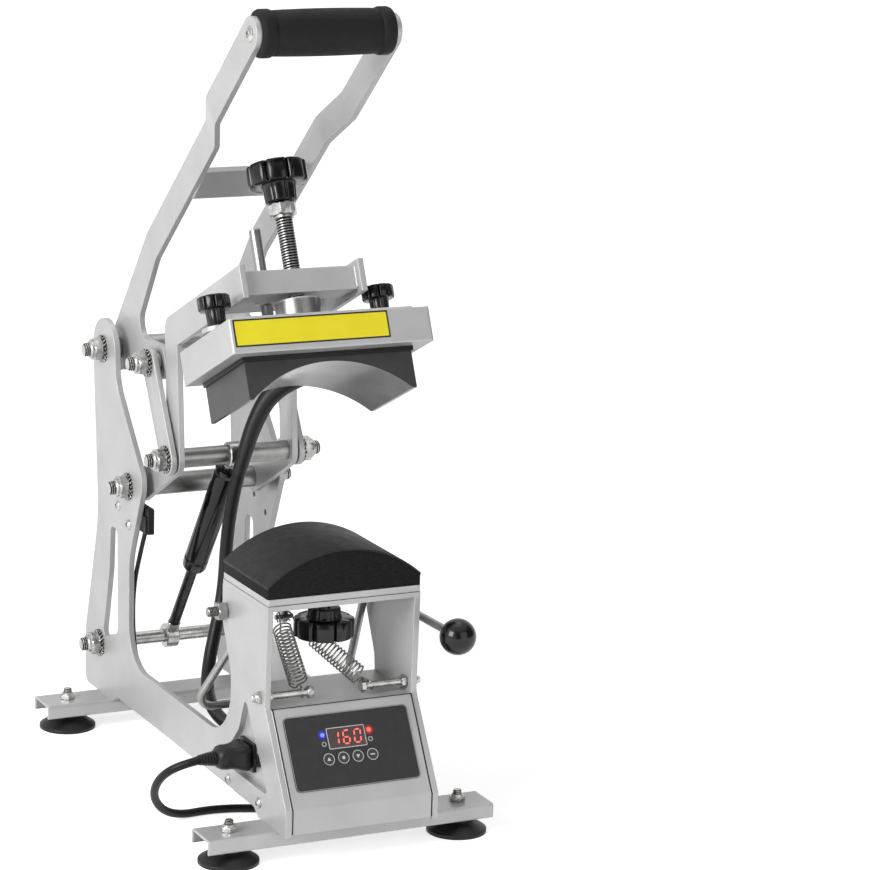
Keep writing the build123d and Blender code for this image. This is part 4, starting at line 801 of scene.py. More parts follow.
def locked_end(name, x, pivot, body):
    """Washer, lock nut and threaded tip on a rod's end at X, looking out of the stack."""
    way = Vector((1 if x > 0 else -1, 0, 0))
    seat = at_x(pivot, x)[0]
    toothed_washer(f"{name}_washer", standing(seat, way), body)
    seat += way * washer_height * MM
    lock_nut(f"{name}_nut", standing(seat, way, 11), nut_flats, nut_height, rod_radius, body)
    sunk = 1.2
    seat += way * (nut_height - sunk) * MM
    threaded(f"{name}_tip", standing(seat, way), rod_radius, 1.75, rod_stub + sunk, "zinc", body)


def button_head(name, matrix, radius, height, body):
    """A domed screw head with a hexagon socket."""
    well = 0.45 * radius
    profile = [(0.97 * radius, 0.0)]
    profile += [(radius * cos(radians(d)), height * sin(radians(d))) for d in (0, 20, 40, 58)]
    profile += [(1.12 * well, 0.96 * height), (well, 0.9 * height), (well, 0.35 * height)]

    def shape(out, z, angle):
        if out > well * 1.001 or z > height * 0.91:
            return out
        return well * 0.87 / cos((angle % (pi / 3)) - pi / 6)

    add_mesh(name, lathe(profile, shape, 48), matrix, "zinc", body, sharp=30)


# ---------------------------------------------------------------- pivots and linkage
def frame_pivots():
    """The frame's three rods, with their spacers, nuts and washers."""
    for label, pivot, spacer_inner in (
        ("crank", crank_pivot, lobe_outer + running_gap),
        ("arm", arm_pivot, yoke_outer + running_gap),
        ("spring", spring_pivot, None),
    ):
        replaced = ("pivot_rods",) if label == "crank" else ()
        reach = plate_outer + washer_height
        ends = at_x(pivot, -reach, reach)
        plain_rod(f"{label}_rod", *ends, rod_radius - rod_slack, "zinc", "base", replaced)
        for hand, sign in hands:
            locked_end(f"{label}_{hand}", sign * plate_outer, pivot, "base")
            if spacer_inner:
                ends = at_x(pivot, sign * spacer_inner, sign * (plate_outer - sheet_thick))
                plain_rod(f"{label}_spacer_{hand}", *ends, spacer_radius, "bright_steel", "base")


def handle_pivots():
    """The handle's sleeve and lower rod with its nuts, and the grip's screws."""
    inner = lobe_outer - sheet_thick
    for label, pivot, replaced in (("crank", crank_pivot, ("handle_rods",)), ("link", link_pin, ())):
        ends = at_x(pivot, -inner, inner)
        plain_rod(f"{label}_sleeve", *ends, sleeve_radius, "bright_steel", "handle", replaced)
    seat = link_outer + running_gap
    grip_end = 63
    for hand, sign in hands:
        ends = at_x(link_pin, sign * lobe_outer, sign * (link_inner - running_gap))
        plain_rod(f"link_spacer_{hand}", *ends, spacer_radius, "bright_steel", "handle")
        ends = at_x(link_pin, sign * lobe_outer, sign * (seat + washer_height))
        plain_rod(f"link_rod_{hand}", *ends, rod_radius - rod_slack, "zinc", "handle")
        locked_end(f"link_{hand}", sign * seat, link_pin, "handle")
        head = on_handle @ at(sign * grip_end, -grip_reach, 0)
        button_head(f"grip_screw_{hand}", standing(head, (sign, 0, 0)), 7, 2.5, "handle")


def toggle_links():
    """The two toggle links, each a flat bar with round ends and its own bolt end."""
    half = 13.75
    heading = degrees(atan2(toggle_pin.z - link_pin.z, toggle_pin.y - link_pin.y))
    outline = []
    for pin, start in ((link_pin, heading + 90), (toggle_pin, heading - 90)):
        outline += arc((pin.y / MM, pin.z / MM), half, start, start + 180, 20)
    for hand, sign in hands:
        place = Matrix.Translation(at(link_inner if sign > 0 else -link_outer, 0, 0)) @ side_on
        bar = prism(outline, sheet_thick, 0.4)
        add_mesh(f"link_bar_{hand}", bar, place, "sheet_paint", "links", (f"link_{hand}",))
        locked_end(f"toggle_{hand}", sign * link_outer, toggle_pin, "links")


def gas_spring():
    """Black tube with two rolled grooves and a guide cap, nitrided rod, and plated end eyes."""
    way = (spring_pivot - toggle_pin).normalized()
    neck, length, outside, mouth = 16, 134, 11, 6.3
    groove = ((-1.8, 0), (-1.0, 0.5), (-0.4, 1), (0.4, 1), (1.0, 0.5), (1.8, 0))
    profile = [(mouth, 0), (8.6, 0), (10.2, 0.8), (outside, 2.4)]
    for share, deep in ((0.06, 0.7), (0.9, 0.8)):
        profile += [(outside - deep * sunk, share * length + z) for z, sunk in groove]
    profile += [(outside, length - 3.4), (10.3, length - 1.2), (8.8, length), (mouth, length)]
    seat = standing(toggle_pin + way * neck * MM, way)
    add_mesh("gas_tube", lathe(profile), seat, "black_oxide", "gas_cylinder", ("gas_cylinder",), 25)
    guide = [toggle_pin + way * (neck + length + d) * MM for d in (-1.0, 0.6)]
    plain_rod("gas_guide", *guide, 6.9, "black_oxide", "gas_cylinder", rim=0.3)
    bar = [spring_pivot - way * d * MM for d in (112, 19)]
    plain_rod("gas_bar", *bar, 5, "chrome", "gas_rod", ("gas_rod",))
    bore, shoulder, eye_radius = 6.15, 10, 11
    eye = [(bore, -6), (shoulder, -6), (eye_radius, -5.2), (eye_radius, 5.2), (shoulder, 6), (bore, 6)]
    for label, pivot, sign, body in (
        ("top", toggle_pin, 1, "gas_cylinder"),
        ("foot", spring_pivot, -1, "gas_rod"),
    ):
        ring = lathe(eye, steps=48, looped=True)
        add_mesh(f"gas_eye_{label}", ring, standing(pivot, (1, 0, 0)), "zinc", body)
        ends = [pivot + way * sign * d * MM for d in (9.5, 19.5)]
        plain_rod(f"gas_neck_{label}", *ends, 5.7, "zinc", body)


def welds():
    """Short weld beads where the front bar meets the yokes and the stop bar meets the handle's arms."""
    beads = []
    for sign in (-1, 1):
        yoke_x, stop_x = sign * 49.7, sign * 46.8
        beads += [
            ("upper_arm", on_arm, (yoke_x, -153.2, 332), (yoke_x, -153.2, 350)),
            ("upper_arm", on_arm, (yoke_x, -152, 350.9), (yoke_x, -127, 350.9)),
            ("handle", on_handle, (stop_x, -224, 5.2), (stop_x, -257, 5.2)),
            ("handle", on_handle, (stop_x, -224, -0.2), (stop_x, -257, -0.2)),
        ]
    radius, end_radius, end_reach, ripple = 1.5, 0.6, 0.4, 0.55
    for number, (body, place, start, end) in enumerate(beads):
        start, end = place @ at(*start), place @ at(*end)
        length = (end - start).length / MM
        count = round(length / ripple)
        swell = [radius * (0.86 + 0.14 * abs(sin(pi * i / 4))) for i in range(count + 1)]
        ridges = [(out, length * i / count) for i, out in enumerate(swell)]
        profile = [(end_radius, -end_reach), *ridges, (end_radius, length + end_reach)]
        bead = lathe(profile, steps=20)
        add_mesh(f"weld_{number}", bead, standing(start, end - start), "sheet_paint", body)


# ---------------------------------------------------------------- knobs, screw and platen
def lobed_knob(name, matrix, radius, height, hub_radius, hub_height, lobes, body, node):
    """A moulded knob: a lobed head with a shallow dish, on a lobed hub. Z is down the hub."""
    dish = 0.62 * radius
    foot = height + hub_height
    profile = [(0.2, 0.1 * height), (0.9 * dish, 0.1 * height), (dish, 0.0)]
    rim_shape = ((0.94, 0.0), (0.98, 0.03), (1.0, 0.1), (1.0, 0.9), (0.98, 0.97), (0.94, 1.0))
    profile += [(out * radius, share * height) for out, share in rim_shape]
    hub_shape = ((1.06, 0.0), (1.02, 0.08), (1.0, 0.3), (0.95, 0.92), (0.86, 1.0))
    profile += [(out * hub_radius, height + share * hub_height) for out, share in hub_shape]
    profile.append((0.3 * radius, foot))

    def shape(out, z, angle):
        if out < 0.9 * hub_radius:
            return out
        groove = (1 - abs(sin(lobes * angle / 2))) ** 4.5
        depth = 0.16 if out > dish * 1.02 and z <= height else 0.06
        return out * (1 - depth * groove)

    turned = lathe(profile, shape, 30 * lobes)
    add_mesh(name, turned, matrix, "phenolic", body, (node,), 32)


def knobs():
    """Pressure knob, pad knob and the two clamp knobs."""
    top = on_arm @ at(0, screw_y, knob_bottom + knob_height)
    place = standing(top, -lift)
    lobed_knob("pressure_head", place, 25, knob_height, 14, 15, 8, "screw", "pressure_knob")
    place = standing(at(0, pad_y, 165.5), (0, 0, 1))
    lobed_knob("pad_head", place, 25, 15.5, 14, 9, 8, "pad_knob", "pad_knob")
    plain_rod("pad_stud", at(0, pad_y, 190), at(0, pad_y, 206), 5, "zinc", "pad_knob")
    for hand, sign in hands:
        body = f"clamp_knob_{hand}"
        head, *stud = [on_arm @ at(sign * clamp_x, screw_y, z) for z in (retainer_top + 26, 300, 310)]
        lobed_knob(f"clamp_head_{hand}", standing(head, -lift), 13.5, 11, 8, 14.7, 10, body, body)
        plain_rod(f"clamp_stud_{hand}", *stud, 4, "zinc", body)


def pressure_screw():
    """The M14 screw under its knob, with its jam nut."""
    foot = hub_top - 9.5
    place = standing(on_arm @ at(0, screw_y, foot), lift)
    length = knob_bottom - 15 - foot
    threaded("pressure_thread", place, 7, 2.3, length, "bright_steel", "screw", ("pressure_screw",))
    shoulder, seat = [on_arm @ at(0, screw_y, knob_bottom - drop) for drop in (28.5, 26)]
    corner = 11 / cos(pi / 6)
    profile = ((7, 0), (10.8, 0), (corner, 1), (corner, 9), (10.8, 10), (7, 10))
    nut = lathe(profile, hexagon(22), 72)
    add_mesh("jam_nut", nut, standing(seat, lift), "zinc", "screw", sharp=25)
    plain_rod("jam_shoulder", shoulder, seat, 8.6, "zinc", "screw")


def platen_dress():
    """Bright turned sleeves on the hub and guide pin, and the black gasket over the block."""
    for name, y, start, end, radius, rim in (
        ("hub_sleeve", screw_y, retainer_top + 0.1, hub_top, 19.05, 1.2),
        ("guide_sleeve", guide_y, 314.6, 405.2, 5.03, 1.4),
    ):
        ends = [on_arm @ at(0, y, z) for z in (start, end)]
        plain_rod(name, *ends, radius, "bright_steel", "platen", rim=rim)
    place = on_arm @ Matrix.Translation(at(0, -140, 269.2))
    add_mesh("block_gasket", prism(rounded_box(151, 92, 2, 2), 3.7), place, "rubber_black", "platen")


# ---------------------------------------------------------------- grip, ball, pad
def grip():
    """The foam sleeve: a bellied barrel between two rolled collars."""
    half, barrel = 58, 46
    end = [(5, -half), (16.5, -half), (18.6, 1 - half), (19.5, 3 - half), (19.5, -barrel - 2.2)]
    end += [(19.0, -barrel - 0.8), (18.1, -barrel), (17.9, 0.6 - barrel), (18.25, 1.4 - barrel)]
    stations = [barrel * (i / 8 - 1) for i in range(1, 16)]
    belly = [(18.25 + 0.75 * (1 - (x / barrel) ** 2), x) for x in stations]
    profile = end + belly + [(radius, -x) for radius, x in reversed(end)]
    place = standing(on_handle @ at(0, -grip_reach, 0), (1, 0, 0))
    shape = lathe(profile, steps=72)
    piece = add_mesh("grip_sleeve", shape, place, "foam", "handle", ("handle_grip",), 50)
    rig.padded(piece, fill=1.0)


def ball():
    """The phenolic ball on the bail's lever."""
    low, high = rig.box("lever_ball")
    radius = (high.x - low.x) / 2 / MM
    angles = [radians(-90 + 180 * i / 32) for i in range(33)]
    profile = [(max(radius * cos(a), 0.01), radius * sin(a)) for a in angles]
    centre = Matrix.Translation((low + high) / 2)
    add_mesh("lever_knob", lathe(profile), centre, "phenolic", "bail", ("lever_ball",))


def curved_pad():
    """The silicone foam pad: a thin moulded skin over the crown, cut foam on its sides."""
    low, high = (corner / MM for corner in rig.box("lower_pad"))
    half = (high.x - low.x) / 2
    depth = high.y - low.y
    crown, skin_depth, set_in = 101, 1.6, 0.25

    def section(radius, width):
        """The arc at a radius about the crown's centre, out to width each side."""
        reach = degrees(atan2(sqrt(radius**2 - width**2), width))
        return arc((0, high.z - crown), radius, reach, 180 - reach, 40)

    top = section(crown, half) + section(crown - skin_depth, half)[::-1]
    core = section(crown - skin_depth, half - set_in) + [(set_in - half, low.z), (half - set_in, low.z)]
    for name, outline, inset, round_over, finish, replaced in (
        ("pad_top", top, 0.0, 0.35, "pad_rubber", ("lower_pad",)),
        ("pad_core", core, set_in, 0.6, "cut_foam", ()),
    ):
        # The outline's Y goes up, and its thickness to the back
        place = Matrix(((-1, 0, 0, 0), (0, 0, 1, (low.y + inset) * MM), (0, 1, 0, 0), (0, 0, 0, 1)))
        shape = prism(outline, depth - 2 * inset, round_over)
        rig.padded(add_mesh(name, shape, place, finish, "base", replaced, 30), fill=1.0)


# ---------------------------------------------------------------- wires and leads
def line_of(route, steps=10):
    """The points of a smooth line along a route in millimetres."""
    curve = bpy.data.curves.new("route", "CURVE")
    curve.dimensions = "3D"
    spline = curve.splines.new("NURBS")
    spline.points.add(len(route) - 1)
    for made, point in zip(spline.points, route):
        made.co = (*(Vector(point) * MM), 1)
    spline.order_u = 3
    spline.use_endpoint_u = True
    spline.resolution_u = steps
    guide = bpy.data.objects.new("route", curve)
    mesh = bpy.data.meshes.new_from_object(guide)
    line = [vertex.co.copy() for vertex in mesh.vertices]
    bpy.data.objects.remove(guide)
    bpy.data.meshes.remove(mesh)
    return line


def tube(name, line, radius, finish, sides=24, end_radius=None):
    """A round tube along a line, closed at its ends, as a piece that doesn't ride yet."""
    made = bmesh.new()
    rings = []
    across = Vector((1, 0, 0))
    last = len(line) - 1
    for i, point in enumerate(line):
        heading = (line[min(i + 1, last)] - line[max(i - 1, 0)]).normalized()
        across = (across - heading * across.dot(heading)).normalized()
        other = heading.cross(across)
        out = (radius + ((end_radius or radius) - radius) * i / last) * MM
        points = [point + (across * cos(a) + other * sin(a)) * out for a in round_angles(sides)]
        rings.append([made.verts.new(place) for place in points])
    skin(made, rings, capped=True)
    bmesh.ops.recalc_face_normals(made, faces=made.faces)
    return new_piece(name, made, finish, sharp=60)


def mains_lead():
    """The mains lead: out of its connector, under the left plate, and into a coil of two layers."""
    low, high = 3.5, 10.7
    route = [
        (-106.0, inlet_y, inlet_z),
        (-124.0, -133.0, 66.0),
        (-134.0, -116.0, 51.0),
        (-132.0, -98.0, 30.0),
        (-119.0, -87.0, 12.0),
        (-100.0, -80.0, low),
        (-76.0, -77.0, low),
        (-55.0, -80.0, low),
        (-35.0, -88.0, low),
        (-15.0, -95.0, low),
    ]
    centre_x, centre_y = 1.0, -62.0
    outer, step, per_turn, coil_points = 34.6, 7.15, 16, 85
    for i in range(1, coil_points + 1):
        turn = i / per_turn
        angle = 2 * pi * turn - pi / 2
        radius = outer - step * (min(turn, 2.0) - max(turn - 3.0, 0.0))
        z = low + (high - low) * min(max(turn - 2.0, 0.0), 1.0)
        route.append((centre_x + radius * cos(angle), centre_y + radius * sin(angle), z))
    route += [(21.4, -35.0, high), (21.4, -27.0, high)]
    line = line_of(route)
    piece = tube("mains_lead", line, 3.5, "cord_jacket")
    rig.ride(piece, "base")
    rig.replaces(piece, "mains_cord", "mains_coil")
    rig.cord(
        piece,
        exit=line[0],
        path=line,
        length=mains_length,
        diameter=0.007,
        far_end="plug",
        stiffness="medium",
        lay="coiled",
        with_pieces=[connector(), "mains_plug"],
    )


def heater_lead():
    """The heater's lead: from the platen's gland, down behind the pad and into the console.

    It is two stretches that part at the upper arm, each blended from one body to the next, with a
    shrunk sleeve over each that is stout at the gland and tapers.
    """
    route = (
        (62.0, -28.0, 369.5),
        (59.0, -8.0, 360.0),
        (43.0, 15.0, 348.0),
        (23.0, 29.0, 332.0),
        (10.0, 33.0, 307.0),
        (1.0, 35.0, 277.0),
        (-5.0, 43.0, 241.0),
        (-8.0, 49.0, 201.0),
        (-11.0, 46.0, 158.0),
        (-20.0, 40.0, 127.0),
        (-31.0, 30.0, 98.0),
        (-41.0, 10.0, 77.0),
        (-46.0, -22.0, 68.0),
        (-46.0, -60.0, 67.0),
        (-45.0, -106.5, 72.0),
    )
    line = line_of(route)
    parting = min(range(len(line)), key=lambda i: (line[i] - at(26, 27, 332)).length)
    upper, lower = line[: parting + 1], line[parting:]
    on_platen, on_base = ("platen", "upper_arm"), ("upper_arm", "base")
    upper_reach = (upper[0], upper[-1])
    lower_reach = (lower[18], at(-36, 24, 88))
    radius = 5.75
    for name, stretch, bodies, reach, length in (
        ("heater_lead_top", upper, on_platen, upper_reach, heater_top_length),
        ("heater_lead", lower, on_base, lower_reach, heater_length),
    ):
        piece = tube(name, stretch, radius, "cord_jacket")
        if name == "heater_lead":
            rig.replaces(piece, "heater_cable")
        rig.blend(piece, *bodies, start=reach[0], end=reach[1])
        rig.cord(
            piece,
            exit=stretch[0],
            path=stretch,
            length=length,
            diameter=2 * radius * MM,
            far_end="object",
            stiffness="stiff",
            lay="hanging",
        )
    for name, stretch, bodies, reach, start, end in (
        ("heater_boot_top", upper[3:], on_platen, upper_reach, 9.6, 8.4),
        ("heater_boot", lower[:28], on_base, lower_reach, 8.4, 6.1),
    ):
        piece = tube(name, stretch, start, "rubber_black", end_radius=end)
        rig.blend(piece, *bodies, start=reach[0], end=reach[1])


def signal_lead():
    """The lid switch's lead, clipped along the left plate."""
    inside = -59.5
    route = (
        (-58.5, 112.0, 196.0),
        (-59.0, 124.0, 172.0),
        (inside, 137.0, 140.0),
        (inside, 139.0, 105.0),
        (inside, 130.0, 74.0),
        (inside, 108.0, 54.0),
        (inside, 78.0, 49.5),
        (inside, 40.0, 51.0),
        (inside, 0.0, 48.5),
        (inside, -40.0, 51.0),
        (-59.0, -76.0, 50.0),
        (-57.0, -106.5, 53.0),
    )
    line = line_of(route)
    piece = tube("signal_lead", line, 2, "cord_jacket")
    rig.ride(piece, "base")
    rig.replaces(piece, "switch_cable")
    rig.cord(
        piece,
        exit=line[0],
        path=line,
        length=signal_length,
        diameter=0.004,
        far_end="object",
        stiffness="medium",
        lay="taut",
    )


def return_springs():
    """Extension springs from the studs to the lug's cross pin, wound from round wire with end loops."""
    coil_radius, wire, tail, per_turn = 7.9, 0.75, 1.5, 12
    for hand, stud_x, pin_x, start, stop, turns in (
        ("left", -30.5, -23, 0.14, 0.86, 16),
        ("right", 30.5, -13, 0.14, 0.7, 15),
    ):
        stud, pin = Vector((stud_x, hook_y, hook_z)), Vector((pin_x, -100, 172))
        span = pin - stud
        along = span.normalized()
        out = along.cross(Vector((1, 0, 0))).normalized()
        aside = along.cross(out)
        first, last = (stud + span * share for share in (start, stop))

        def end_loop(centre, radius, angle, sweep):
            """Points round a loop in the spring's own plane."""
            angles = [radians(angle + sweep * i / 8) for i in range(9)]
            return [centre + (along * cos(a) + out * sin(a)) * radius for a in angles]

        points = end_loop(stud, 4.0, 200, -300) + [first - along * tail]
        steps = turns * per_turn
        for i in range(steps + 1):
            angle = 2 * pi * i / per_turn
            turned = out * cos(angle) + aside * sin(angle)
            points.append(first.lerp(last, i / steps) + turned * coil_radius)
        points += [last + along * tail] + end_loop(pin, 4.2, 180, 300)
        piece = tube(f"spring_coil_{hand}", line_of(points, 3), wire, "spring_wire", 12)
        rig.blend(piece, "base", "bail", start=stud * MM, end=pin * MM)
        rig.replaces(piece, f"return_spring_{hand}")


# ---------------------------------------------------------------- base hardware
def base_hardware():
    """Foot bolts and nuts, the plates' screws and the springs' studs."""
    up = (0, 0, 1)
    for place in ("front_left", "front_right", "rear_left", "rear_right"):
        low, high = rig.box(f"foot_{place}")
        seat = (low + high) / 2
        seat.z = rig.box(f"rail_{place.split('_')[0]}")[1].z
        replaced = ("base_screws",) if place == "front_left" else ()
        lock_nut(f"foot_nut_{place}", standing(seat, up, 17), 12, 6, 4, "base", replaced)
        seat += at(0, 0, 5)
        threaded(f"foot_bolt_{place}", standing(seat, up), 3.6, 1.25, 4.8, "zinc", "base")
    screws = ((155.5, 209.7), (129.4, 198.9), (-104.0, 38.5), (-169.0, 38.5))
    for hand, sign in hands:
        way = (sign, 0, 0)
        for number, place in enumerate(screws):
            seat = at(sign * plate_outer, *place)
            button_head(f"plate_screw_{hand}_{number}", standing(seat, way), 4.75, 2.6, "base")
        stud = at(0, hook_y, hook_z)
        plain_rod(f"hook_stud_{hand}", *at_x(stud, sign * 23.5, sign * 75), 3, "zinc", "base")
        for number, seat in enumerate(at_x(stud, sign * 21.6, sign * 57.5, sign * plate_outer)):
            lock_nut(f"hook_nut_{hand}_{number}", standing(seat, way, 20), 10, 5, 3, "base")


def bail_ends():
    """A collar where the bail's rod leaves each side plate, and a nut and threaded end at the left."""
    seat = plate_outer + running_gap
    collar, nut_reach = 1.6, 6.0
    for hand, sign in hands:
        ends = at_x(bail_pivot, sign * seat, sign * (seat + collar))
        plain_rod(f"bail_washer_{hand}", *ends, 6.4, "bail_steel", "bail")
        if hand == "left":
            nut, tip = at_x(bail_pivot, -seat - collar, -seat - collar - nut_reach)
            profile = ((4, 0), (6.9, 0), (8.08, 0.8), (8.08, 6), (6.9, 6.8), (4, 6.8))
            shape = lathe(profile, hexagon(14), 72)
            add_mesh("bail_nut", shape, standing(nut, (-1, 0, 0), 8), "bail_steel", "bail", sharp=25)
            threaded("bail_tip", standing(tip, (-1, 0, 0)), 4.1, 1.25, 9, "bail_steel", "bail")


def gap_shade_strips():
    """Thin black strips of painted shade in the gaps round the console's front and between the pad's tray and its
    platform.
    """
    reach = plate_outer - sheet_thick
    outer = ((-180.05, 120.1), (-224.1, 48.0), (-224.1, 28.5))
    inner = ((-223.6, 28.5), (-223.6, 48.0), (-179.6, 119.7))
    # Each strip is black, painted shade where the console's cover meets a side plate.
    for hand, x in (("left", 0.5 - reach), ("right", reach - 1.3)):
        place = Matrix.Translation(at(x, 0, 0)) @ side_on
        add_mesh(f"console_gap_shade_{hand}", prism(outer + inner, 1.2), place, "rubber_black", "base")
    ends = [at(sign * reach, -179.3, 120.02) for sign in (-1, 1)]
    plain_rod("console_gap_shade_top", *ends, 0.35, "rubber_black", "base", rim=0.05)
    # A black strip of painted shade where the tray sits on its platform.
    low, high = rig.box("pad_tray")
    size = (high - low) / MM
    seat = Vector(((low.x + high.x) / 2, (low.y + high.y) / 2, low.z)) - at(0, 0, 0.25)
    tray = rounded_box(size.x + 0.1, size.y + 0.1, 1, 2)
    add_mesh("tray_gap_shade", prism(tray, 0.5), Matrix.Translation(seat), "rubber_black", "base")


def connector():
    """The lead's moulded connector: a waisted grip, then a ribbed tapering strain relief."""
    stations = [  # how far out, width, height and corner
        (1.5, 23.0, 15.4, 2.0), (0.0, 23.0, 15.4, 2.0), (-0.2, 27.6, 20.6, 4.0),
        (-2.0, 28.4, 21.4, 4.5), (-6.0, 27.0, 20.6, 5.0), (-11.0, 23.0, 18.6, 5.5),
        (-15.0, 21.6, 18.0, 6.0), (-19.0, 22.6, 18.4, 6.5), (-23.0, 21.0, 17.6, 7.0),
        (-25.5, 17.0, 15.0, 6.8), (-26.2, 13.6, 13.2, 6.4),
    ]
    for rib in range(6):
        size = 12.6 - 0.75 * rib
        start = -26.8 - 2.4 * rib
        for further, groove in ((0, 2.2), (0.3, 0), (1.3, 0), (1.7, 2.2)):
            wide = size - groove
            stations.append((start - further, wide, wide, wide / 2 - 0.05))
    stations.append((-41.5, 7.6, 7.6, 3.7))
    outlines = [(x, rounded_box(wide, tall, corner, 7)) for x, wide, tall, corner in stations]
    shape = stacked([[(x, *point) for point in outline] for x, outline in outlines], capped=True)
    seat = Vector((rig.box("power_inlet")[0].x, inlet_y * MM, inlet_z * MM))
    place = Matrix.Translation(seat)
    return add_mesh("lead_connector", shape, place, "black_plastic", "base", ("mains_connector",), 34)


# ---------------------------------------------------------------- print and lights
print_thickness = 0.08


def on_fascia(x, drop, off):
    """A matrix across and down from the fascia's top bend and off its face, with Z off it."""
    out = -key_push
    across = Vector((1, 0, 0))
    up = out.cross(across)
    origin = at(x, -180, 120) - up * drop * MM + out * off * MM
    return Matrix.Translation(origin) @ Matrix((across, up, out)).transposed().to_4x4()


def band(inner, outer):
    """A thin printed line between two outlines of the same count."""
    edges = ((inner, 0), (inner, print_thickness), (outer, print_thickness), (outer, 0))
    return stacked([[(*point, z) for point in outline] for outline, z in edges], looped=True)


def border(length, width, radius, line):
    """A printed line round a rounded rectangle."""
    inner = rounded_box(length - 2 * line, width - 2 * line, radius - line)
    return band(inner, rounded_box(length, width, radius))


def circle(inner, outer):
    """A printed ring."""
    angles = round_angles(40)
    return band(*([(r * cos(a), r * sin(a)) for a in angles] for r in (inner, outer)))


def halo(name, x, drop, finish):
    """A thin disc of lit film, its mesh about its own middle so that the glow follows it."""
    made = bmesh.new()
    bmesh.ops.create_circle(made, cap_ends=True, segments=48, radius=5 * MM)
    piece = new_piece(name, made, finish)
    piece.matrix_world = on_fascia(x, drop, 0.83)
    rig.ride(piece, "base")


def digit_bars(digit, height=10.8, width=5.4, bar=1.2, slant=0.09):
    """The lit bars of a seven-bar digit, each with its middle and its pointed outline."""
    bars = {
        "a": (0, height / 2, False),
        "b": (width / 2, height / 4, True),
        "c": (width / 2, -height / 4, True),
        "d": (0, -height / 2, False),
        "e": (-width / 2, -height / 4, True),
        "f": (-width / 2, height / 4, True),
        "g": (0, 0, False),
    }
    nose = bar / 2
    for key in {"0": "abcdef", "1": "bc", "6": "acdefg"}[digit]:
        x, y, upright = bars[key]
        half = ((height / 2 if upright else width) - bar * 1.15) / 2
        outline = [(-half, 0), (nose - half, -nose), (half - nose, -nose)]
        outline += [(-along, -aside) for along, aside in outline]
        if upright:
            outline = [(aside, along) for along, aside in outline]
        yield x, y, [(px + (y + py) * slant, py) for px, py in outline]


def console_marks():
    """Print and lights on the panel: border, display digits, lamps and key rings."""

    def printed(name, shape, x, drop, finish, off=0.84, body="base", slot=None):
        """A thin printed or lit mark on the fascia."""
        add_mesh(name, shape, on_fascia(x, drop, off), finish, body, slot=slot)

    display_x, display_drop, pitch = -2.9, 29.3, 9.8
    printed("panel_border", border(109.4, 61.4, 3.8, 0.35), 0, 39, "grey_ink", 0.82)
    printed("display_rim", border(33.6, 17.6, 0.8, 0.6), display_x, display_drop, "white_ink")
    for place, digit in enumerate("160"):
        x = display_x + (place - 1) * pitch
        for number, (dx, dy, outline) in enumerate(digit_bars(digit)):
            bar = prism(outline, 0.1)
            printed(f"digit_{place}_{number}", bar, x + dx, display_drop - dy, "red_light")
    lamp_drop, unlit_drop = 25.6, 33.2
    left_x, right_x = -23.5, 17.6
    for colour, x in (("blue", left_x), ("red", right_x)):
        lamp = prism(arc((0, 0), 1.7, 0, 352, 22), 0.25)
        printed(f"lamp_{colour}", lamp, x, lamp_drop, f"{colour}_light")
        halo(f"lamp_{colour}_halo", x, lamp_drop, f"{colour}_halo")
    for hand, x in (("left", left_x), ("right", right_x)):
        printed(f"lamp_off_{hand}", circle(1.3, 2.1), x, unlit_drop, "grey_ink")
    marks = (
        ((-1.7, -1.2), (1.7, -1.2), (0, 1.8)),
        arc((0, 0), 1.4, 0, 345, 23),
        ((-1.7, 1.2), (0, -1.8), (1.7, 1.2)),
        ((-2.0, -0.5), (2.0, -0.5), (2.0, 0.5), (-2.0, 0.5)),
    )
    key_drop, key_top = 46, 1.1
    for number, (x, mark) in enumerate(zip((-21.9, -9.0, 3.8, 16.7), marks), start=1):
        for kind, shape in (("ring", circle(4.35, 4.85)), ("mark", prism(mark, print_thickness))):
            name, key = f"key_{kind}_{number}", f"key_{number}"
            printed(name, shape, x, key_drop, "white_ink", key_top, key, "key_white")


def platen_label():
    """A plain yellow band with a black edge along the housing's front."""
    # The outline's Y goes up, and its thickness to the front
    forward = Matrix(((1, 0, 0, 0), (0, 0, -1, 0), (0, 1, 0, 0), (0, 0, 0, 1)))
    for name, length, height, off, finish in (
        ("label_edge", 135.0, 22.5, 0.0, "black_ink"),
        ("label_band", 132.2, 19.7, 0.06, "yellow_vinyl"),
    ):
        seat = Matrix.Translation(at(-17.5, housing_front - off, 289.25))
        film = prism(rounded_box(length, height, 0.6, 3), 0.12)
        add_mesh(name, film, on_arm @ seat @ forward, finish, "platen")


def rocker_marks():
    """White stroke and ring on the rocker, for on and off."""
    tilted = Matrix.Translation(rocker_pivot) @ Matrix.Rotation(radians(-7.0), 4, "Y")
    stroke = prism(rounded_box(1.2, 6.0, 0.3, 2), 0.1)
    ring = lathe(((2, 0), (3, 0), (3, 0.1), (2, 0.1)), steps=40, looped=True)
    for name, z, mark in (("rocker_on", 8.0, stroke), ("rocker_off", -8.0, ring)):
        slope = atan2(2.0, 14.0) * (1 if z > 0 else -1)
        out = 4.0 + 2.0 * abs(z) / 14.5 + 0.04
        place = tilted @ Matrix.Translation(at(out, 0, z)) @ Matrix.Rotation(slope, 4, "Y") @ side_on
        add_mesh(name, mark, place, "white_ink", "rocker", slot="rocker_red")


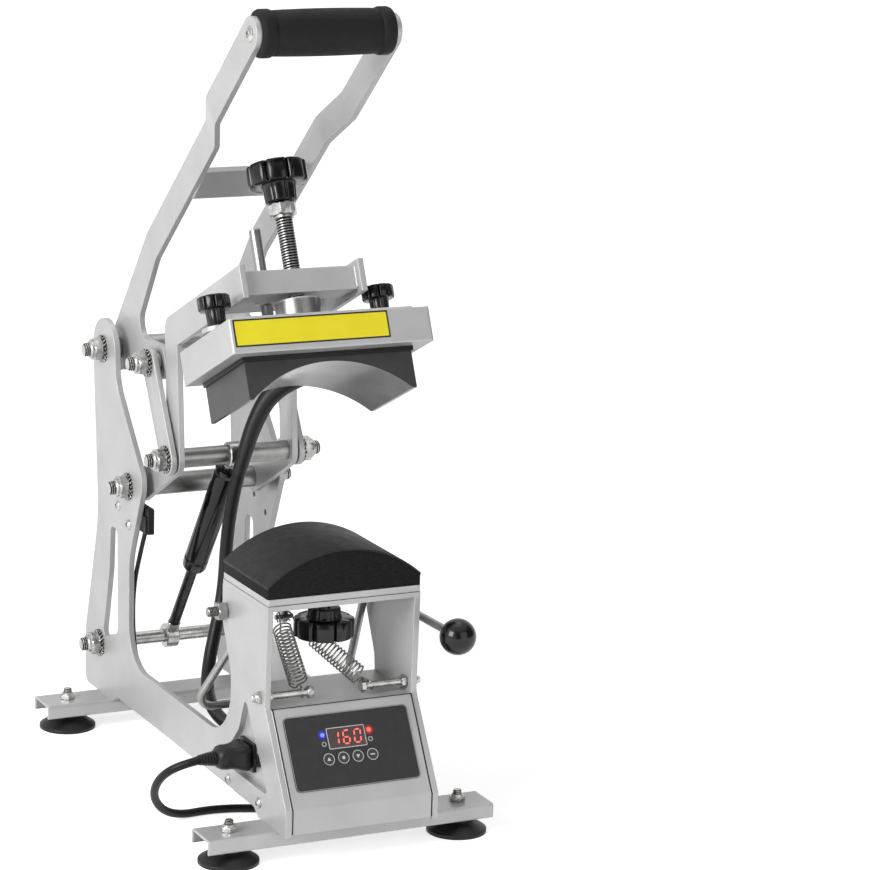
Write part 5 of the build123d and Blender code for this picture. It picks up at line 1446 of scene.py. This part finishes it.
# ---------------------------------------------------------------- stage
def white_floor():
    """A white sweep that fades to pure white away from the press."""
    size = 40.0
    mesh = bpy.data.meshes.new("floor")
    corners = [(-size, -size, 0), (size, -size, 0), (size, size, 0), (-size, size, 0)]
    mesh.from_pydata(corners, [], [(0, 1, 2, 3)])
    floor = new_object("floor", mesh)
    white = bpy.data.materials.new("floor_white")
    tree = emptied(white)
    diffuse = add_node(tree, "ShaderNodeBsdfDiffuse", {"Color": (0.9, 0.9, 0.9, 1)})
    rays = add_node(tree, "ShaderNodeLightPath").outputs
    direct = {0: rays["Is Camera Ray"], 1: rays["Is Glossy Ray"]}
    seen = add_node(tree, "ShaderNodeMath", direct, operation="MAXIMUM").outputs[0]
    place = add_node(tree, "ShaderNodeNewGeometry").outputs["Position"]
    whiter = between(length_of(place), 0.68, 1.0, 0.5, 2.0)
    strength = add_node(tree, "ShaderNodeMath", {0: seen, 1: whiter}, operation="MULTIPLY").outputs[0]
    glow = add_node(tree, "ShaderNodeEmission", {"Color": (1, 1, 1, 1), "Strength": strength})
    both = add_node(tree, "ShaderNodeAddShader", {0: diffuse.outputs[0], 1: glow.outputs[0]})
    add_node(tree, "ShaderNodeOutputMaterial", {"Surface": both.outputs[0]})
    mesh.materials.append(white)
    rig.stage(floor)


def room():
    """Metal and gloss see a white sweep behind, a softbox at the left and one above, and a dim room."""
    world = bpy.data.worlds.new("studio")
    bpy.context.scene.world = world
    sky = emptied(world)
    path = add_node(sky, "ShaderNodeLightPath").outputs
    heading = add_node(sky, "ShaderNodeTexCoord").outputs["Generated"]
    side = add_node(sky, "ShaderNodeSeparateXYZ", {0: heading}).outputs
    boxes = None
    for axis, start, stop in (("Y", 0.0, 0.4), ("X", -0.5, -0.75), ("Z", 0.6, 0.85)):
        box = between(side[axis], 0.0, 1.0, start, stop, interpolation_type="SMOOTHSTEP")
        both = {0: boxes, 1: box}
        boxes = add_node(sky, "ShaderNodeMath", both, operation="MAXIMUM").outputs[0] if boxes else box
    mirrored = between(boxes, 0.16, 1.0, 0.0, 1.0)
    glossy = add_node(sky, "ShaderNodeMix", {0: path["Is Glossy Ray"], 2: 0.17, 3: mirrored}).outputs[0]
    lit = {0: path["Is Camera Ray"], 1: glossy}
    power = add_node(sky, "ShaderNodeMath", lit, operation="MAXIMUM").outputs[0]
    back = add_node(sky, "ShaderNodeBackground", {"Color": (1, 1, 1, 1), "Strength": power})
    add_node(sky, "ShaderNodeOutputWorld", {"Surface": back.outputs[0]})


def lamps():
    """A large key from the left, a weak front fill and a top light."""
    for name, place, aim, size, power in (
        ("key", (-2.5, -0.9, 1.5), (0, 0, 0.3), 1.4, 64.0),
        ("front", (0.7, -2.4, 1.0), (0, 0, 0.3), 1.8, 13.0),
        ("top", (0.1, 0.3, 2.3), (0, 0, 0.2), 1.5, 7.0),
    ):
        lamp = bpy.data.lights.new(name, "AREA")
        lamp.energy = power
        lamp.size = size
        piece = new_object(name, lamp)
        piece.matrix_world = standing(Vector(place), Vector(place) - Vector(aim))


def camera():
    """A long lens from the front left, a little above the press."""
    data = bpy.data.cameras.new("camera")
    data.lens = 141.28
    data.sensor_width = 36.0
    data.clip_end = 100.0
    heading, tilt, roll = -26.168, 90 - 12.969, 1.561
    place = Matrix.Translation((-1.10666, -2.58939, 0.95451))
    for angle, axis in ((heading, "Z"), (tilt, "X"), (roll, "Z")):
        place = place @ Matrix.Rotation(radians(angle), 4, axis)
    piece = new_object("camera", data)
    piece.matrix_world = place
    bpy.context.scene.camera = piece
    bpy.context.scene.view_settings.view_transform = "Standard"


camera()
white_floor()
room()
lamps()
mains_lead()
heater_lead()
signal_lead()
frame_pivots()
handle_pivots()
toggle_links()
gas_spring()
welds()
knobs()
pressure_screw()
platen_dress()
grip()
ball()
curved_pad()
return_springs()
base_hardware()
bail_ends()
gap_shade_strips()
console_marks()
platen_label()
rocker_marks()

bpy.context.view_layer.update()
visual_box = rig.bounds()
with open("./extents.json", "w") as out:
    json.dump({"cad": [list(v) for v in cad_box], "visual": [list(v) for v in visual_box]}, out)
